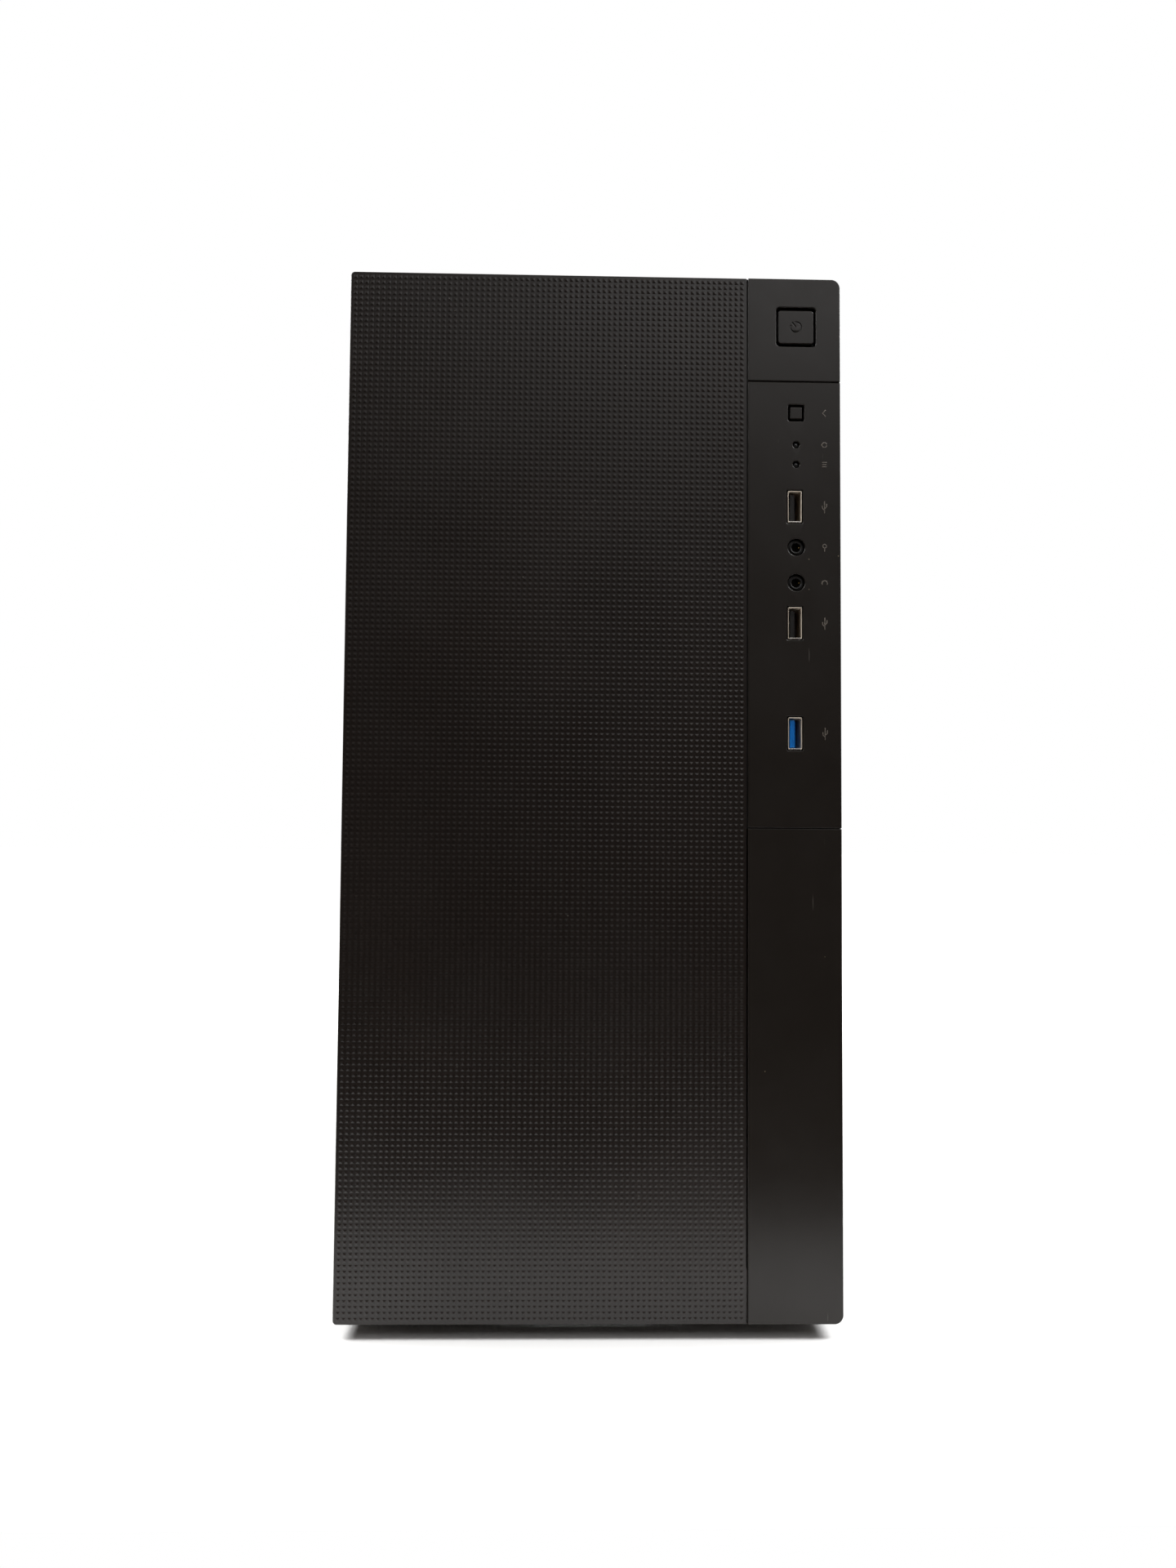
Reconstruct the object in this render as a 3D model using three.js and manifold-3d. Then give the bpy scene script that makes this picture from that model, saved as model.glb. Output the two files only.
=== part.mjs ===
// A desktop computer tower: moulded front with its buttons and ports, steel case, and what it holds.
// Millimetres. X to the right, Y from the front to the back, Z up.
// The origin is on the floor, under the middle of the tower.
import * as THREE from "three";
import { mergeVertices } from "three/addons/utils/BufferGeometryUtils.js";
import Module from "manifold-3d";

const wasm = await Module();
wasm.setup();

// ------------------------------------------------------------------ driving dimensions

const WIDTH = 200; // across the front bezel
const FACE_HEIGHT = 420; // the front bezel, edge to edge
const GROUND = 6; // floor to the bezel's lower edge
const DEPTH = 404; // bezel face to the thumbscrew heads
const GAP = 0.3; // between pieces that touch or nearly touch
const SHEET = 1; // sheet steel of the case
const MOULDING = 2.4; // walls of the front bezel
const SKIN = 2.5; // the panel and covers on the bezel's face
const BEZEL_DEPTH = 34;
const FLANGE = 15; // folded edges of the case
const THUMBSCREW = { head: 8.4, headRadius: 5.5, shank: 7.6, shankRadius: 1.6, hole: 2.2 };

const FACE_RADIUS = { panelSide: 1.6, portSide: 3.5 }; // the face's outer corners
const SEAM_X = 62; // between the textured panel and the column of covers
const SEAM = 0.5; // width of that seam
const SEAM_END = { height: 22, width: 0.2 }; // the seam is narrower at the bottom
const COVER_SEAM = 0.4; // between one cover and the next

// Heights on the column of covers, measured down from the face's top edge.
const DOWN = {
  power: 20.1,
  upperSeam: 42.9,
  reset: 55.9,
  powerLed: 69.1,
  driveLed: 77.2,
  usbUpper: 94.7,
  microphone: 111.3,
  headphone: 125.8,
  usbLower: 142.4,
  usbFast: 187.2,
  lowerSeam: 225.4,
};
const COLUMN_X = 81.9; // buttons, lamps and jacks
const USB_X = 81.3;
const POWER = { cap: [14.5, 13.9], hole: [16.3, 16.4], radius: 1.5, travel: 1.5 };
const RESET = { cap: [4.9, 5], hole: [6.6, 6.9], radius: 0.6, travel: 1 };
const LED = { rod: 1.15, hole: 1.4, foot: 1.8 };
const USB = { width: 5.7, height: 13.1, wall: 0.35, clearance: 0.4 };
const JACK = { barrel: 3.1, bore: 1.8, hole: 3.5, body: 8 };

// Standard parts inside.
const FAN = { size: 120, depth: 25, spacing: 105 };
const CPU_FAN = { size: 92, depth: 25 };
const BOARD = { size: 244, thickness: 1.6 };
const PSU = { width: 150, height: 86, length: 140 };
const HARD_DRIVE = { width: 101.6, length: 147, height: 26.1 };
const SSD = { width: 69.85, length: 100, height: 7 };
const SLOT_PITCH = 20.32; // expansion slots
const SLOT_COUNT = 7;

// ------------------------------------------------------------------ places worked out from them

const TOP = GROUND + FACE_HEIGHT;
const FRONT = -DEPTH / 2;
const BACK = DEPTH / 2;
const SIDE = WIDTH / 2;
const BEZEL_FACE = FRONT + SKIN + GAP; // front of the bezel's own wall
const BEZEL_BACK = FRONT + BEZEL_DEPTH;
const COVER_FACE = FRONT + 0.1;

const CASE = { x: SIDE - 2.5, front: BEZEL_BACK + GAP, floor: GROUND + 2, top: TOP - 3 };
const PANEL_BACK = BACK - THUMBSCREW.head - GAP; // outer face of the side panels' rear flanges
CASE.back = PANEL_BACK - SHEET - GAP; // outer face of the rear panel
CASE.inFront = CASE.front + SHEET;
CASE.inBack = CASE.back - SHEET;
CASE.inFloor = CASE.floor + SHEET;
CASE.inTop = CASE.top - SHEET;

const IO_BOARD = { back: FRONT + 15.6, x: [68, 96], z: [TOP - 200, TOP - 14] };
IO_BOARD.face = IO_BOARD.back - BOARD.thickness;
const PORT_BACK = IO_BOARD.face - GAP; // rear ends of what is soldered to the small board

const TRAY_X = 79; // the face that carries the motherboard
const BOARD_BACK = TRAY_X - 6;
const BOARD_FACE = BOARD_BACK - BOARD.thickness;
const BOARD_Y = [CASE.inBack - 1.6 - BOARD.size, CASE.inBack - 1.6];
const BOARD_Z = [89, 89 + BOARD.size];
const IO_APERTURE = { x: [31, 75.4], z: [170, 328.8] };
const CPU = { y: 112, z: 262 };
const REAR_FAN = { x: -32, z: 262 };
const FRONT_FAN = { x: 0, z: 260 };
const PSU_BOX = {
  x: [-72, -72 + PSU.width],
  y: [CASE.inBack - GAP - PSU.length, CASE.inBack - GAP],
  z: [CASE.inTop - 0.6 - PSU.height, CASE.inTop - 0.6],
};
const PSU_FAN = { x: 3, y: (PSU_BOX.y[0] + PSU_BOX.y[1]) / 2 - 6 };
const INLET = { x: [18, 70], z: [347, 375], wall: 1.6, flange: 2 };
const SWITCH = { x: 60, z: 361, width: 12.4, height: 19.6, onTilt: 8 };
const CAGE = { x: 52.2, y: [-161, -14], top: 89, shelf: 49 };
const SCREW_X = 92;
const SCREW_Z = { upper: TOP - 53, lower: GROUND + 52 };
const PIN_X = 88; // pins that hold the bezel on the case
const PINS = [
  [-PIN_X, 30],
  [-PIN_X, 218],
  [-PIN_X, 405],
  [PIN_X, 30],
  [PIN_X, 218],
  [PIN_X, 417.6], // above the small board and the power button
];
const FEET = { x: 66, front: -130, back: 150 };

// ------------------------------------------------------------------ materials

const MATERIALS = {
  texturedPlastic: { color: 0x1b1917, roughness: 0.5, metalness: 0 },
  satinPlastic: { color: 0x201e1c, roughness: 0.42, metalness: 0 },
  bezelPlastic: { color: 0x1a1918, roughness: 0.55, metalness: 0 },
  blackPlastic: { color: 0x121212, roughness: 0.5, metalness: 0 },
  clearPlastic: { color: 0x8a8f94, roughness: 0.25, metalness: 0 },
  blueTongue: { color: 0x0a78d7, roughness: 0.4, metalness: 0 },
  greyTongue: { color: 0x3a3a3c, roughness: 0.5, metalness: 0 },
  plated: { color: 0xb9aa8c, roughness: 0.3, metalness: 1 },
  paintedSteel: { color: 0x161616, roughness: 0.55, metalness: 0.2 },
  zincSteel: { color: 0x9fa3a6, roughness: 0.45, metalness: 1 },
  rubber: { color: 0x141414, roughness: 0.8, metalness: 0 },
  circuitBoard: { color: 0x123322, roughness: 0.5, metalness: 0 },
  aluminium: { color: 0xc4c6c8, roughness: 0.35, metalness: 1 },
  cable: { color: 0x18181a, roughness: 0.6, metalness: 0 },
};

// ------------------------------------------------------------------ solids

// Turns that lay a shape built along Z along another axis. An outline is then drawn in (y, z)
// for X, in (x, z) for Y and in (x, y) for Z.
const TURN = {
  x: new THREE.Matrix4().set(0, 0, 1, 0, 1, 0, 0, 0, 0, 1, 0, 0, 0, 0, 0, 1),
  y: new THREE.Matrix4().set(1, 0, 0, 0, 0, 0, -1, 0, 0, 1, 0, 0, 0, 0, 0, 1),
  z: new THREE.Matrix4(),
};
const ALONG = {
  x: (from) => [from, 0, 0],
  y: (from, to) => [0, to, 0],
  z: (from) => [0, 0, from],
};

function solid(geometry) {
  geometry.deleteAttribute("normal");
  geometry.deleteAttribute("uv");
  const merged = mergeVertices(geometry, 1e-4);
  const mesh = new wasm.Mesh({
    numProp: 3,
    vertProperties: merged.attributes.position.array,
    triVerts: new Uint32Array(merged.index.array),
  });
  return new wasm.Manifold(mesh);
}

const join = (solids) => solids.reduce((whole, next) => whole.add(next));
const cut = (whole, tools) => tools.reduce((left, tool) => left.subtract(tool), whole);
const range = (count) => Array.from({ length: count }, (_, i) => i);

// A box given by its extent along each axis.
function block([x0, x1], [y0, y1], [z0, z1]) {
  const geometry = new THREE.BoxGeometry(x1 - x0, y1 - y0, z1 - z0);
  geometry.translate((x0 + x1) / 2, (y0 + y1) / 2, (z0 + z1) / 2);
  return solid(geometry);
}

function extrude(outline, axis, from, to) {
  const options = { depth: to - from, bevelEnabled: false, curveSegments: 2 };
  const geometry = new THREE.ExtrudeGeometry(outline, options);
  geometry.applyMatrix4(TURN[axis]);
  geometry.translate(...ALONG[axis](from, to));
  return solid(geometry);
}

function circle(u, v, radius, sides = 20) {
  const corner = (i) => {
    const angle = (2 * Math.PI * i) / sides;
    return new THREE.Vector2(u + radius * Math.cos(angle), v + radius * Math.sin(angle));
  };
  return new THREE.Shape(range(sides).map(corner));
}

function rod(axis, radius, from, to, [u, v] = [0, 0], sides = 20) {
  return extrude(circle(u, v, radius, sides), axis, from, to);
}

// A rectangle with rounded corners; radii go lower left, lower right, upper right, upper left.
function roundedRect([u0, u1], [v0, v1], radii) {
  const [a, b, c, d] = Array.isArray(radii) ? radii : [radii, radii, radii, radii];
  const quarter = Math.PI / 2;
  const shape = new THREE.Shape();
  shape.absarc(u0 + a, v0 + a, a, 2 * quarter, 3 * quarter);
  shape.absarc(u1 - b, v0 + b, b, 3 * quarter, 4 * quarter);
  shape.absarc(u1 - c, v1 - c, c, 0, quarter);
  shape.absarc(u0 + d, v1 - d, d, quarter, 2 * quarter);
  return shape;
}

// One quarter of a ring, less the spokes on both sides of it.
function ringSlot([u, v], inner, outer, quarterIndex, spoke) {
  const steps = 4;
  const arc = (radius, backwards) =>
    range(steps + 1).map((i) => {
      const share = (backwards ? steps - i : i) / steps;
      const half = Math.asin(spoke / 2 / radius);
      const start = (Math.PI / 2) * (quarterIndex + 0.5) + half;
      const angle = start + share * (Math.PI / 2 - 2 * half);
      return new THREE.Vector2(u + radius * Math.cos(angle), v + radius * Math.sin(angle));
    });
  return new THREE.Shape([...arc(outer, false), ...arc(inner, true)]);
}

// Ring slots in front of a fan, and its four screw holes.
function fanGrille(axis, from, to, centre, fan) {
  const slots = [16, 27, 38, 49].flatMap((inner) =>
    range(4).map((i) => extrude(ringSlot(centre, inner, inner + 7, i, 4), axis, from, to)),
  );
  const half = fan.spacing / 2;
  const holes = [-half, half].flatMap((du) =>
    [-half, half].map((dv) => rod(axis, 2.2, from, to, [centre[0] + du, centre[1] + dv], 8)),
  );
  return [...slots, ...holes];
}

// ------------------------------------------------------------------ the scene graph

const tower = new THREE.Group();

function addPiece(parent, name, shape, material, position = [0, 0, 0], rotation = [0, 0, 0]) {
  const made = shape.getMesh();
  const geometry = new THREE.BufferGeometry();
  geometry.setAttribute("position", new THREE.BufferAttribute(made.vertProperties, 3));
  geometry.setIndex(new THREE.BufferAttribute(made.triVerts, 1));
  geometry.computeVertexNormals();
  const mesh = new THREE.Mesh(geometry, new THREE.MeshStandardMaterial(MATERIALS[material]));
  mesh.name = name;
  mesh.position.set(...position);
  mesh.rotation.set(...rotation);
  parent.add(mesh);
}

function addGroup() {
  const group = new THREE.Group();
  tower.add(group);
  return group;
}

// ------------------------------------------------------------------ front bezel and its face

const around = (middle, size) => [middle - size / 2, middle + size / 2];

// Every opening that the buttons, lamps and ports need, cut from one depth to another.
function faceHoles(from, to) {
  const square = ({ hole, radius }, down) => {
    const outline = roundedRect(around(COLUMN_X, hole[0]), around(TOP - down, hole[1]), radius);
    return extrude(outline, "y", from, to);
  };
  const round = (radius, down) => rod("y", radius, from, to, [COLUMN_X, TOP - down], 20);
  const usb = (down) =>
    block(
      around(USB_X, USB.width + 2 * USB.clearance),
      [from, to],
      around(TOP - down, USB.height + 2 * USB.clearance),
    );
  return [
    square(POWER, DOWN.power),
    square(RESET, DOWN.reset),
    round(LED.hole, DOWN.powerLed),
    round(LED.hole, DOWN.driveLed),
    round(JACK.hole, DOWN.microphone),
    round(JACK.hole, DOWN.headphone),
    usb(DOWN.usbUpper),
    usb(DOWN.usbLower),
    usb(DOWN.usbFast),
  ];
}

function frontBezel() {
  const { panelSide, portSide } = FACE_RADIUS;
  const radii = [panelSide, portSide, portSide, panelSide];
  const outline = roundedRect([-SIDE, SIDE], [GROUND, TOP], radii);
  const inside = block(
    [-SIDE + MOULDING, SIDE - MOULDING],
    [BEZEL_FACE + MOULDING, BEZEL_BACK + 1],
    [GROUND + MOULDING, TOP - MOULDING],
  );
  const intakeCount = 20;
  const intakePitch = 9;
  const intakes = range(intakeCount).map((i) => {
    const low = GROUND + 52 + i * intakePitch;
    return block([-SIDE - 1, SIDE + 1], [BEZEL_BACK - 22, BEZEL_BACK - 6], [low, low + 4]);
  });
  const grip = block([-32, 32], [BEZEL_BACK - 20, BEZEL_BACK + 1], [GROUND - 1, GROUND + 3]);
  const pins = PINS.map((at) => rod("y", 3, BEZEL_FACE + 1, CASE.inFront + 8, at, 12));
  const shell = extrude(outline, "y", BEZEL_FACE, BEZEL_BACK);
  const open = cut(shell, [inside, grip, ...intakes, ...faceHoles(BEZEL_FACE - 1, BEZEL_BACK)]);
  return join([open, ...pins]);
}

function texturedPanel() {
  const radius = FACE_RADIUS.panelSide;
  const corner = 0.3; // the two corners at the seam
  const width = [-SIDE, SEAM_X - SEAM / 2];
  const outline = roundedRect(width, [GROUND, TOP], [radius, corner, corner, radius]);
  const widening = block(
    [width[1] - 1, width[1] + SEAM - SEAM_END.width],
    [FRONT, FRONT + SKIN],
    [GROUND + 1, GROUND + SEAM_END.height],
  );
  return extrude(outline, "y", FRONT, FRONT + SKIN).add(widening);
}

function columnCover(low, high, radii) {
  const outline = roundedRect([SEAM_X + SEAM / 2, SIDE], [low, high], radii);
  return cut(extrude(outline, "y", COVER_FACE, FRONT + SKIN), faceHoles(FRONT - 1, FRONT + SKIN + 1));
}

// A push button: cap, with a flange that the bezel's wall keeps from coming out.
function pushButton({ cap, radius, travel }) {
  const front = COVER_FACE + 0.2;
  const flangeFront = BEZEL_FACE + MOULDING + 0.4;
  const back = flangeFront + 1.3;
  const centred = (extra) => cap.map((size) => around(0, size + extra));
  const capOutline = roundedRect(...centred(0), radius * 0.8);
  const flange = block(around(0, cap[0] + 3), [flangeFront, back], around(0, cap[1] + 3));
  return {
    shape: extrude(capOutline, "y", front, back).add(flange),
    plungerFront: back + travel + GAP,
  };
}

// A tact switch: square body on the small board, plunger towards the button.
function tactSwitch(plungerFront) {
  const body = block([-3, 3], [PORT_BACK - 3.5, PORT_BACK], [-3, 3]);
  return body.add(rod("y", 1.7, plungerFront, PORT_BACK - 3, [0, 0], 12));
}

function lightPipe() {
  return join([
    rod("y", LED.rod * 0.7, FRONT + 0.8, FRONT + 1.4, [0, 0], 16),
    rod("y", LED.rod, FRONT + 1.2, PORT_BACK, [0, 0], 16),
    rod("y", LED.foot, PORT_BACK - 5, PORT_BACK, [0, 0], 16),
  ]);
}

function usbShell() {
  const front = COVER_FACE + 0.2;
  const outer = block(around(0, USB.width), [front, PORT_BACK], around(0, USB.height));
  const inner = block(
    around(0, USB.width - 2 * USB.wall),
    [front - 1, PORT_BACK - USB.wall],
    around(0, USB.height - 2 * USB.wall),
  );
  return outer.subtract(inner);
}

function usbTongue() {
  const blockBack = PORT_BACK - USB.wall - GAP;
  const base = block(
    around(0, USB.width - 2 * USB.wall - 2 * GAP),
    [blockBack - 3, blockBack],
    around(0, USB.height - 2 * USB.wall - 2 * GAP),
  );
  const left = -USB.width / 2 + 1.15;
  const tongue = block([left, left + 1.9], [blockBack - 11, blockBack - 1], around(0, 11.1));
  return base.add(tongue);
}

function audioJack() {
  const barrel = rod("y", JACK.barrel, COVER_FACE + 0.8, PORT_BACK - 7, [0, 0], 20);
  const body = block(around(0, JACK.body), [PORT_BACK - 7.5, PORT_BACK], around(0, JACK.body));
  const bore = rod("y", JACK.bore, FRONT, PORT_BACK - 2, [0, 0], 16);
  return barrel.add(body).subtract(bore);
}

function smallBoard() {
  return block(IO_BOARD.x, [IO_BOARD.face, IO_BOARD.back], IO_BOARD.z);
}

// A steel channel that carries the small board in front of the case.
function boardBracket() {
  const [left, right] = [IO_BOARD.x[0] - 1.6, IO_BOARD.x[1] + 0.9];
  const back = CASE.front - GAP;
  const outer = block([left, right], [IO_BOARD.back + GAP, back], IO_BOARD.z);
  const inner = block(
    [left + SHEET, right - SHEET],
    [FRONT, back - SHEET],
    [IO_BOARD.z[0] - 1, IO_BOARD.z[1] + 1],
  );
  return cut(outer, [inner, cableHole()]);
}

// The way that the small board's cable takes through the bracket and the case.
function cableHole() {
  return block([73, 91], [BEZEL_BACK - 5, CASE.inFront + 1], [250, 268]);
}

const bezelGroup = addGroup();
const seamEdge = SEAM_X + SEAM / 2;
const upperSeam = TOP - DOWN.upperSeam;
const lowerSeam = TOP - DOWN.lowerSeam;
const round = FACE_RADIUS.portSide;
const square = 0.3;
addPiece(bezelGroup, "front_bezel", frontBezel(), "bezelPlastic");
addPiece(bezelGroup, "textured_panel", texturedPanel(), "texturedPlastic");
addPiece(
  bezelGroup,
  "power_cover",
  columnCover(upperSeam + COVER_SEAM / 2, TOP, [square, square, round, square]),
  "satinPlastic",
);
addPiece(
  bezelGroup,
  "port_cover",
  columnCover(lowerSeam + COVER_SEAM / 2, upperSeam - COVER_SEAM / 2, square),
  "satinPlastic",
);
addPiece(
  bezelGroup,
  "lower_cover",
  columnCover(GROUND, lowerSeam - COVER_SEAM / 2, [square, round, square, square]),
  "satinPlastic",
);

const portGroup = addGroup();
addPiece(portGroup, "front_io_board", smallBoard(), "circuitBoard");
addPiece(portGroup, "io_bracket", boardBracket(), "zincSteel");
for (const [name, button] of Object.entries({ power: POWER, reset: RESET })) {
  const { shape, plungerFront } = pushButton(button);
  const at = [COLUMN_X, 0, TOP - DOWN[name]];
  addPiece(bezelGroup, name + "_button", shape, "satinPlastic", at);
  addPiece(portGroup, name + "_switch", tactSwitch(plungerFront), "blackPlastic", at);
}
for (const [name, down] of Object.entries({ power_led: DOWN.powerLed, drive_led: DOWN.driveLed })) {
  addPiece(portGroup, name, lightPipe(), "clearPlastic", [COLUMN_X, 0, TOP - down]);
}
for (const [name, down, tongue] of [
  ["usb_upper", DOWN.usbUpper, "greyTongue"],
  ["usb_lower", DOWN.usbLower, "greyTongue"],
  ["usb_fast", DOWN.usbFast, "blueTongue"],
]) {
  addPiece(portGroup, name + "_shell", usbShell(), "plated", [USB_X, 0, TOP - down]);
  addPiece(portGroup, name + "_tongue", usbTongue(), tongue, [USB_X, 0, TOP - down]);
}
addPiece(portGroup, "microphone_jack", audioJack(), "blackPlastic", [COLUMN_X, 0, TOP - DOWN.microphone]);
addPiece(portGroup, "headphone_jack", audioJack(), "blackPlastic", [COLUMN_X, 0, TOP - DOWN.headphone]);

// ------------------------------------------------------------------ steel case

const LENGTHWISE = [CASE.inFront + GAP, CASE.inBack - GAP]; // floor, top and tray lie in here
const FOLD_Y = [CASE.inFront + FLANGE + 4, CASE.inBack - FLANGE - 4];
const FOLD_Z = [CASE.inFloor + FLANGE + 1, CASE.inTop - FLANGE - 1];

// The floor or the top: a sheet with a folded edge along each side.
function caseSheet(low, foldLow) {
  const sheet = block([-CASE.x, CASE.x], LENGTHWISE, [low, low + SHEET]);
  const fold = (x) => block([x, x + SHEET], FOLD_Y, [foldLow, foldLow + FLANGE + SHEET]);
  return join([sheet, fold(-CASE.x), fold(CASE.x - SHEET)]);
}

// Folded side edges of the front and rear panels, reaching into the case.
function sideFolds(y) {
  const fold = (x) => block([x, x + SHEET], y, FOLD_Z);
  return [fold(-CASE.x), fold(CASE.x - SHEET)];
}

function caseFront() {
  const between = [CASE.inFloor + GAP, CASE.inTop - GAP];
  const sheet = block([-CASE.x, CASE.x], [CASE.front, CASE.inFront], between);
  const [from, to] = [CASE.front - 1, CASE.inFront + 1];
  // Two fields of vents, below and above the fan, each in two columns.
  const vents = [108, 338].flatMap((fieldLow) =>
    range(6).flatMap((i) => {
      const z = [fieldLow + i * 12, fieldLow + i * 12 + 5];
      return [block([-44, -4], [from, to], z), block([4, 44], [from, to], z)];
    }),
  );
  const pinHoles = PINS.map((at) => rod("y", 3.6, from, to, at, 12));
  const grille = fanGrille("y", from, to, [FRONT_FAN.x, FRONT_FAN.z], FAN);
  const open = cut(sheet, [...vents, ...pinHoles, ...grille, cableHole()]);
  return join([open, ...sideFolds([CASE.front, CASE.inFront + FLANGE])]);
}

const slotHeight = (index) => IO_APERTURE.z[0] - 13.3 - index * SLOT_PITCH;

function rearPanel() {
  const sheet = block([-CASE.x, CASE.x], [CASE.inBack, CASE.back], [CASE.floor, CASE.top]);
  const through = [CASE.inBack - 1, CASE.back + 1];
  const psuHole = block(
    [PSU_BOX.x[0] + 2, PSU_BOX.x[1] - 2],
    through,
    [PSU_BOX.z[0] + 3, PSU_BOX.z[1] - 3],
  );
  const ioHole = block(IO_APERTURE.x, through, IO_APERTURE.z);
  const slotX = [-28, 72];
  const openSlot = block(slotX, through, around(slotHeight(0), 13));
  // Knock-outs: the slots that still hold their blanks, with a slit on both sides and an eye.
  const knockouts = range(SLOT_COUNT - 1).flatMap((i) => {
    const z = slotHeight(i + 1);
    const slit = (dz) => block(slotX, through, around(z + dz, 0.9));
    return [slit(-6.5), slit(6.5), rod("y", 3, ...through, [22, z], 12)];
  });
  // Upright vents beside the expansion slots, in two rows.
  const vents = range(5).flatMap((i) => {
    const x = [-83 + i * 11, -78.5 + i * 11];
    return [block(x, through, [28, 88]), block(x, through, [98, 158])];
  });
  const screwHoles = [-SCREW_X, SCREW_X].flatMap((x) =>
    Object.values(SCREW_Z).map((z) => rod("y", THUMBSCREW.hole, ...through, [x, z], 12)),
  );
  const grille = fanGrille("y", ...through, [REAR_FAN.x, REAR_FAN.z], FAN);
  const tools = [psuHole, ioHole, openSlot, ...knockouts, ...vents, ...screwHoles, ...grille];
  return join([cut(sheet, tools), ...sideFolds([CASE.inBack - FLANGE, CASE.back])]);
}

function motherboardTray() {
  const y = [-135, LENGTHWISE[1]];
  const z = [CASE.inFloor + GAP, CASE.inTop - GAP];
  const sheet = block([TRAY_X, TRAY_X + SHEET], y, z);
  const fold = block([TRAY_X, TRAY_X + FLANGE], [y[0], y[0] + SHEET], z);
  const through = [TRAY_X - 1, TRAY_X + SHEET + 1];
  const openings = [
    block(through, [72, 152], [222, 302]), // behind the processor
    block(through, [-92, -60], [106, 170]),
    block(through, [-78, -60], [290, 350]),
    block(through, [20, 80], [40, 58]),
    block(through, [110, 170], [40, 58]),
    block([TRAY_X + 2, TRAY_X + FLANGE + 1], [y[0] - 1, y[0] + SHEET + 1], [226, 262]), // front cable
  ];
  const posts = [BOARD_Z[0] + 12, BOARD_Z[0] + 122, BOARD_Z[1] - 12].flatMap((postZ) =>
    [BOARD_Y[0] + 10, BOARD_Y[0] + 100, BOARD_Y[1] - 12].map((postY) =>
      rod("x", 3, BOARD_BACK + GAP, TRAY_X + SHEET / 2, [postY, postZ], 6),
    ),
  );
  return join([cut(sheet.add(fold), openings), ...posts]);
}

// Two bays for 3.5 inch drives; the drives rest on shelves folded in from the sides.
function driveCage() {
  const low = CASE.inFloor + GAP;
  const outer = block([-CAGE.x, CAGE.x], CAGE.y, [low, CAGE.top]);
  const inner = block(
    [-CAGE.x + SHEET, CAGE.x - SHEET],
    [CAGE.y[0] - 1, CAGE.y[1] + 1],
    [low + SHEET, CAGE.top - SHEET],
  );
  const shelves = [CASE.inFloor + 5, CAGE.shelf].flatMap((z) => [
    block([-CAGE.x + SHEET / 2, -CAGE.x + 6], CAGE.y, [z, z + SHEET]),
    block([CAGE.x - 6, CAGE.x - SHEET / 2], CAGE.y, [z, z + SHEET]),
  ]);
  const sideHoles = [30, 66].flatMap((z) =>
    [-140, -112, -84, -56].map((y) =>
      block([-CAGE.x - 1, CAGE.x + 1], [y, y + 18], [z, z + 6]),
    ),
  );
  return join([cut(outer, [inner, ...sideHoles]), ...shelves]);
}

// A side panel for the left (side -1) or the right (side 1): a sheet whose edges are folded over
// the case's top, floor and rear.
function sidePanel(side) {
  const outer = SIDE - 0.5;
  const across = (from, to) => (side < 0 ? [-from, -to] : [to, from]);
  const y = [CASE.front, PANEL_BACK];
  const z = [CASE.floor - GAP - SHEET, CASE.top + GAP + SHEET];
  const fold = 12.5;
  const sheet = block(across(outer, outer - SHEET), y, z);
  const edge = across(outer, outer - fold);
  const folds = [
    block(edge, y, [z[0], z[0] + SHEET]),
    block(edge, y, [z[1] - SHEET, z[1]]),
    block(edge, [PANEL_BACK - SHEET, PANEL_BACK], z),
  ];
  const screwHoles = Object.values(SCREW_Z).map((screwZ) =>
    rod("y", THUMBSCREW.hole, PANEL_BACK - 2, PANEL_BACK + 1, [side * SCREW_X, screwZ], 12),
  );
  const through = across(outer + 1, outer - SHEET - 1);
  const vents =
    side < 0 ? range(12).map((i) => block(through, [86 + i * 8, 89.5 + i * 8], [232, 292])) : [];
  return cut(join([sheet, ...folds]), [...screwHoles, ...vents]);
}

// A round foot that tapers to its sole.
function foot() {
  const height = CASE.floor - GAP;
  const profile = [
    [0, 0],
    [13.5, 0],
    [15, 1.5],
    [17, height],
    [0, height],
  ].map(([radius, z]) => new THREE.Vector2(radius, z));
  return solid(new THREE.LatheGeometry(profile, 20).rotateX(Math.PI / 2));
}

// A thumbscrew along +Y, measured from the tip of its shank.
function thumbscrew() {
  const { head, headRadius, shank, shankRadius } = THUMBSCREW;
  const end = shank + head;
  const body = join([
    rod("y", shankRadius, 0, shank + 1, [0, 0], 12),
    rod("y", headRadius - 1.5, shank, shank + 2, [0, 0], 20),
    rod("y", headRadius, shank + 1.5, end, [0, 0], 20),
  ]);
  const slot = block([-headRadius - 1, headRadius + 1], [end - 1.4, end + 1], [-0.6, 0.6]);
  return body.subtract(slot);
}

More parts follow.
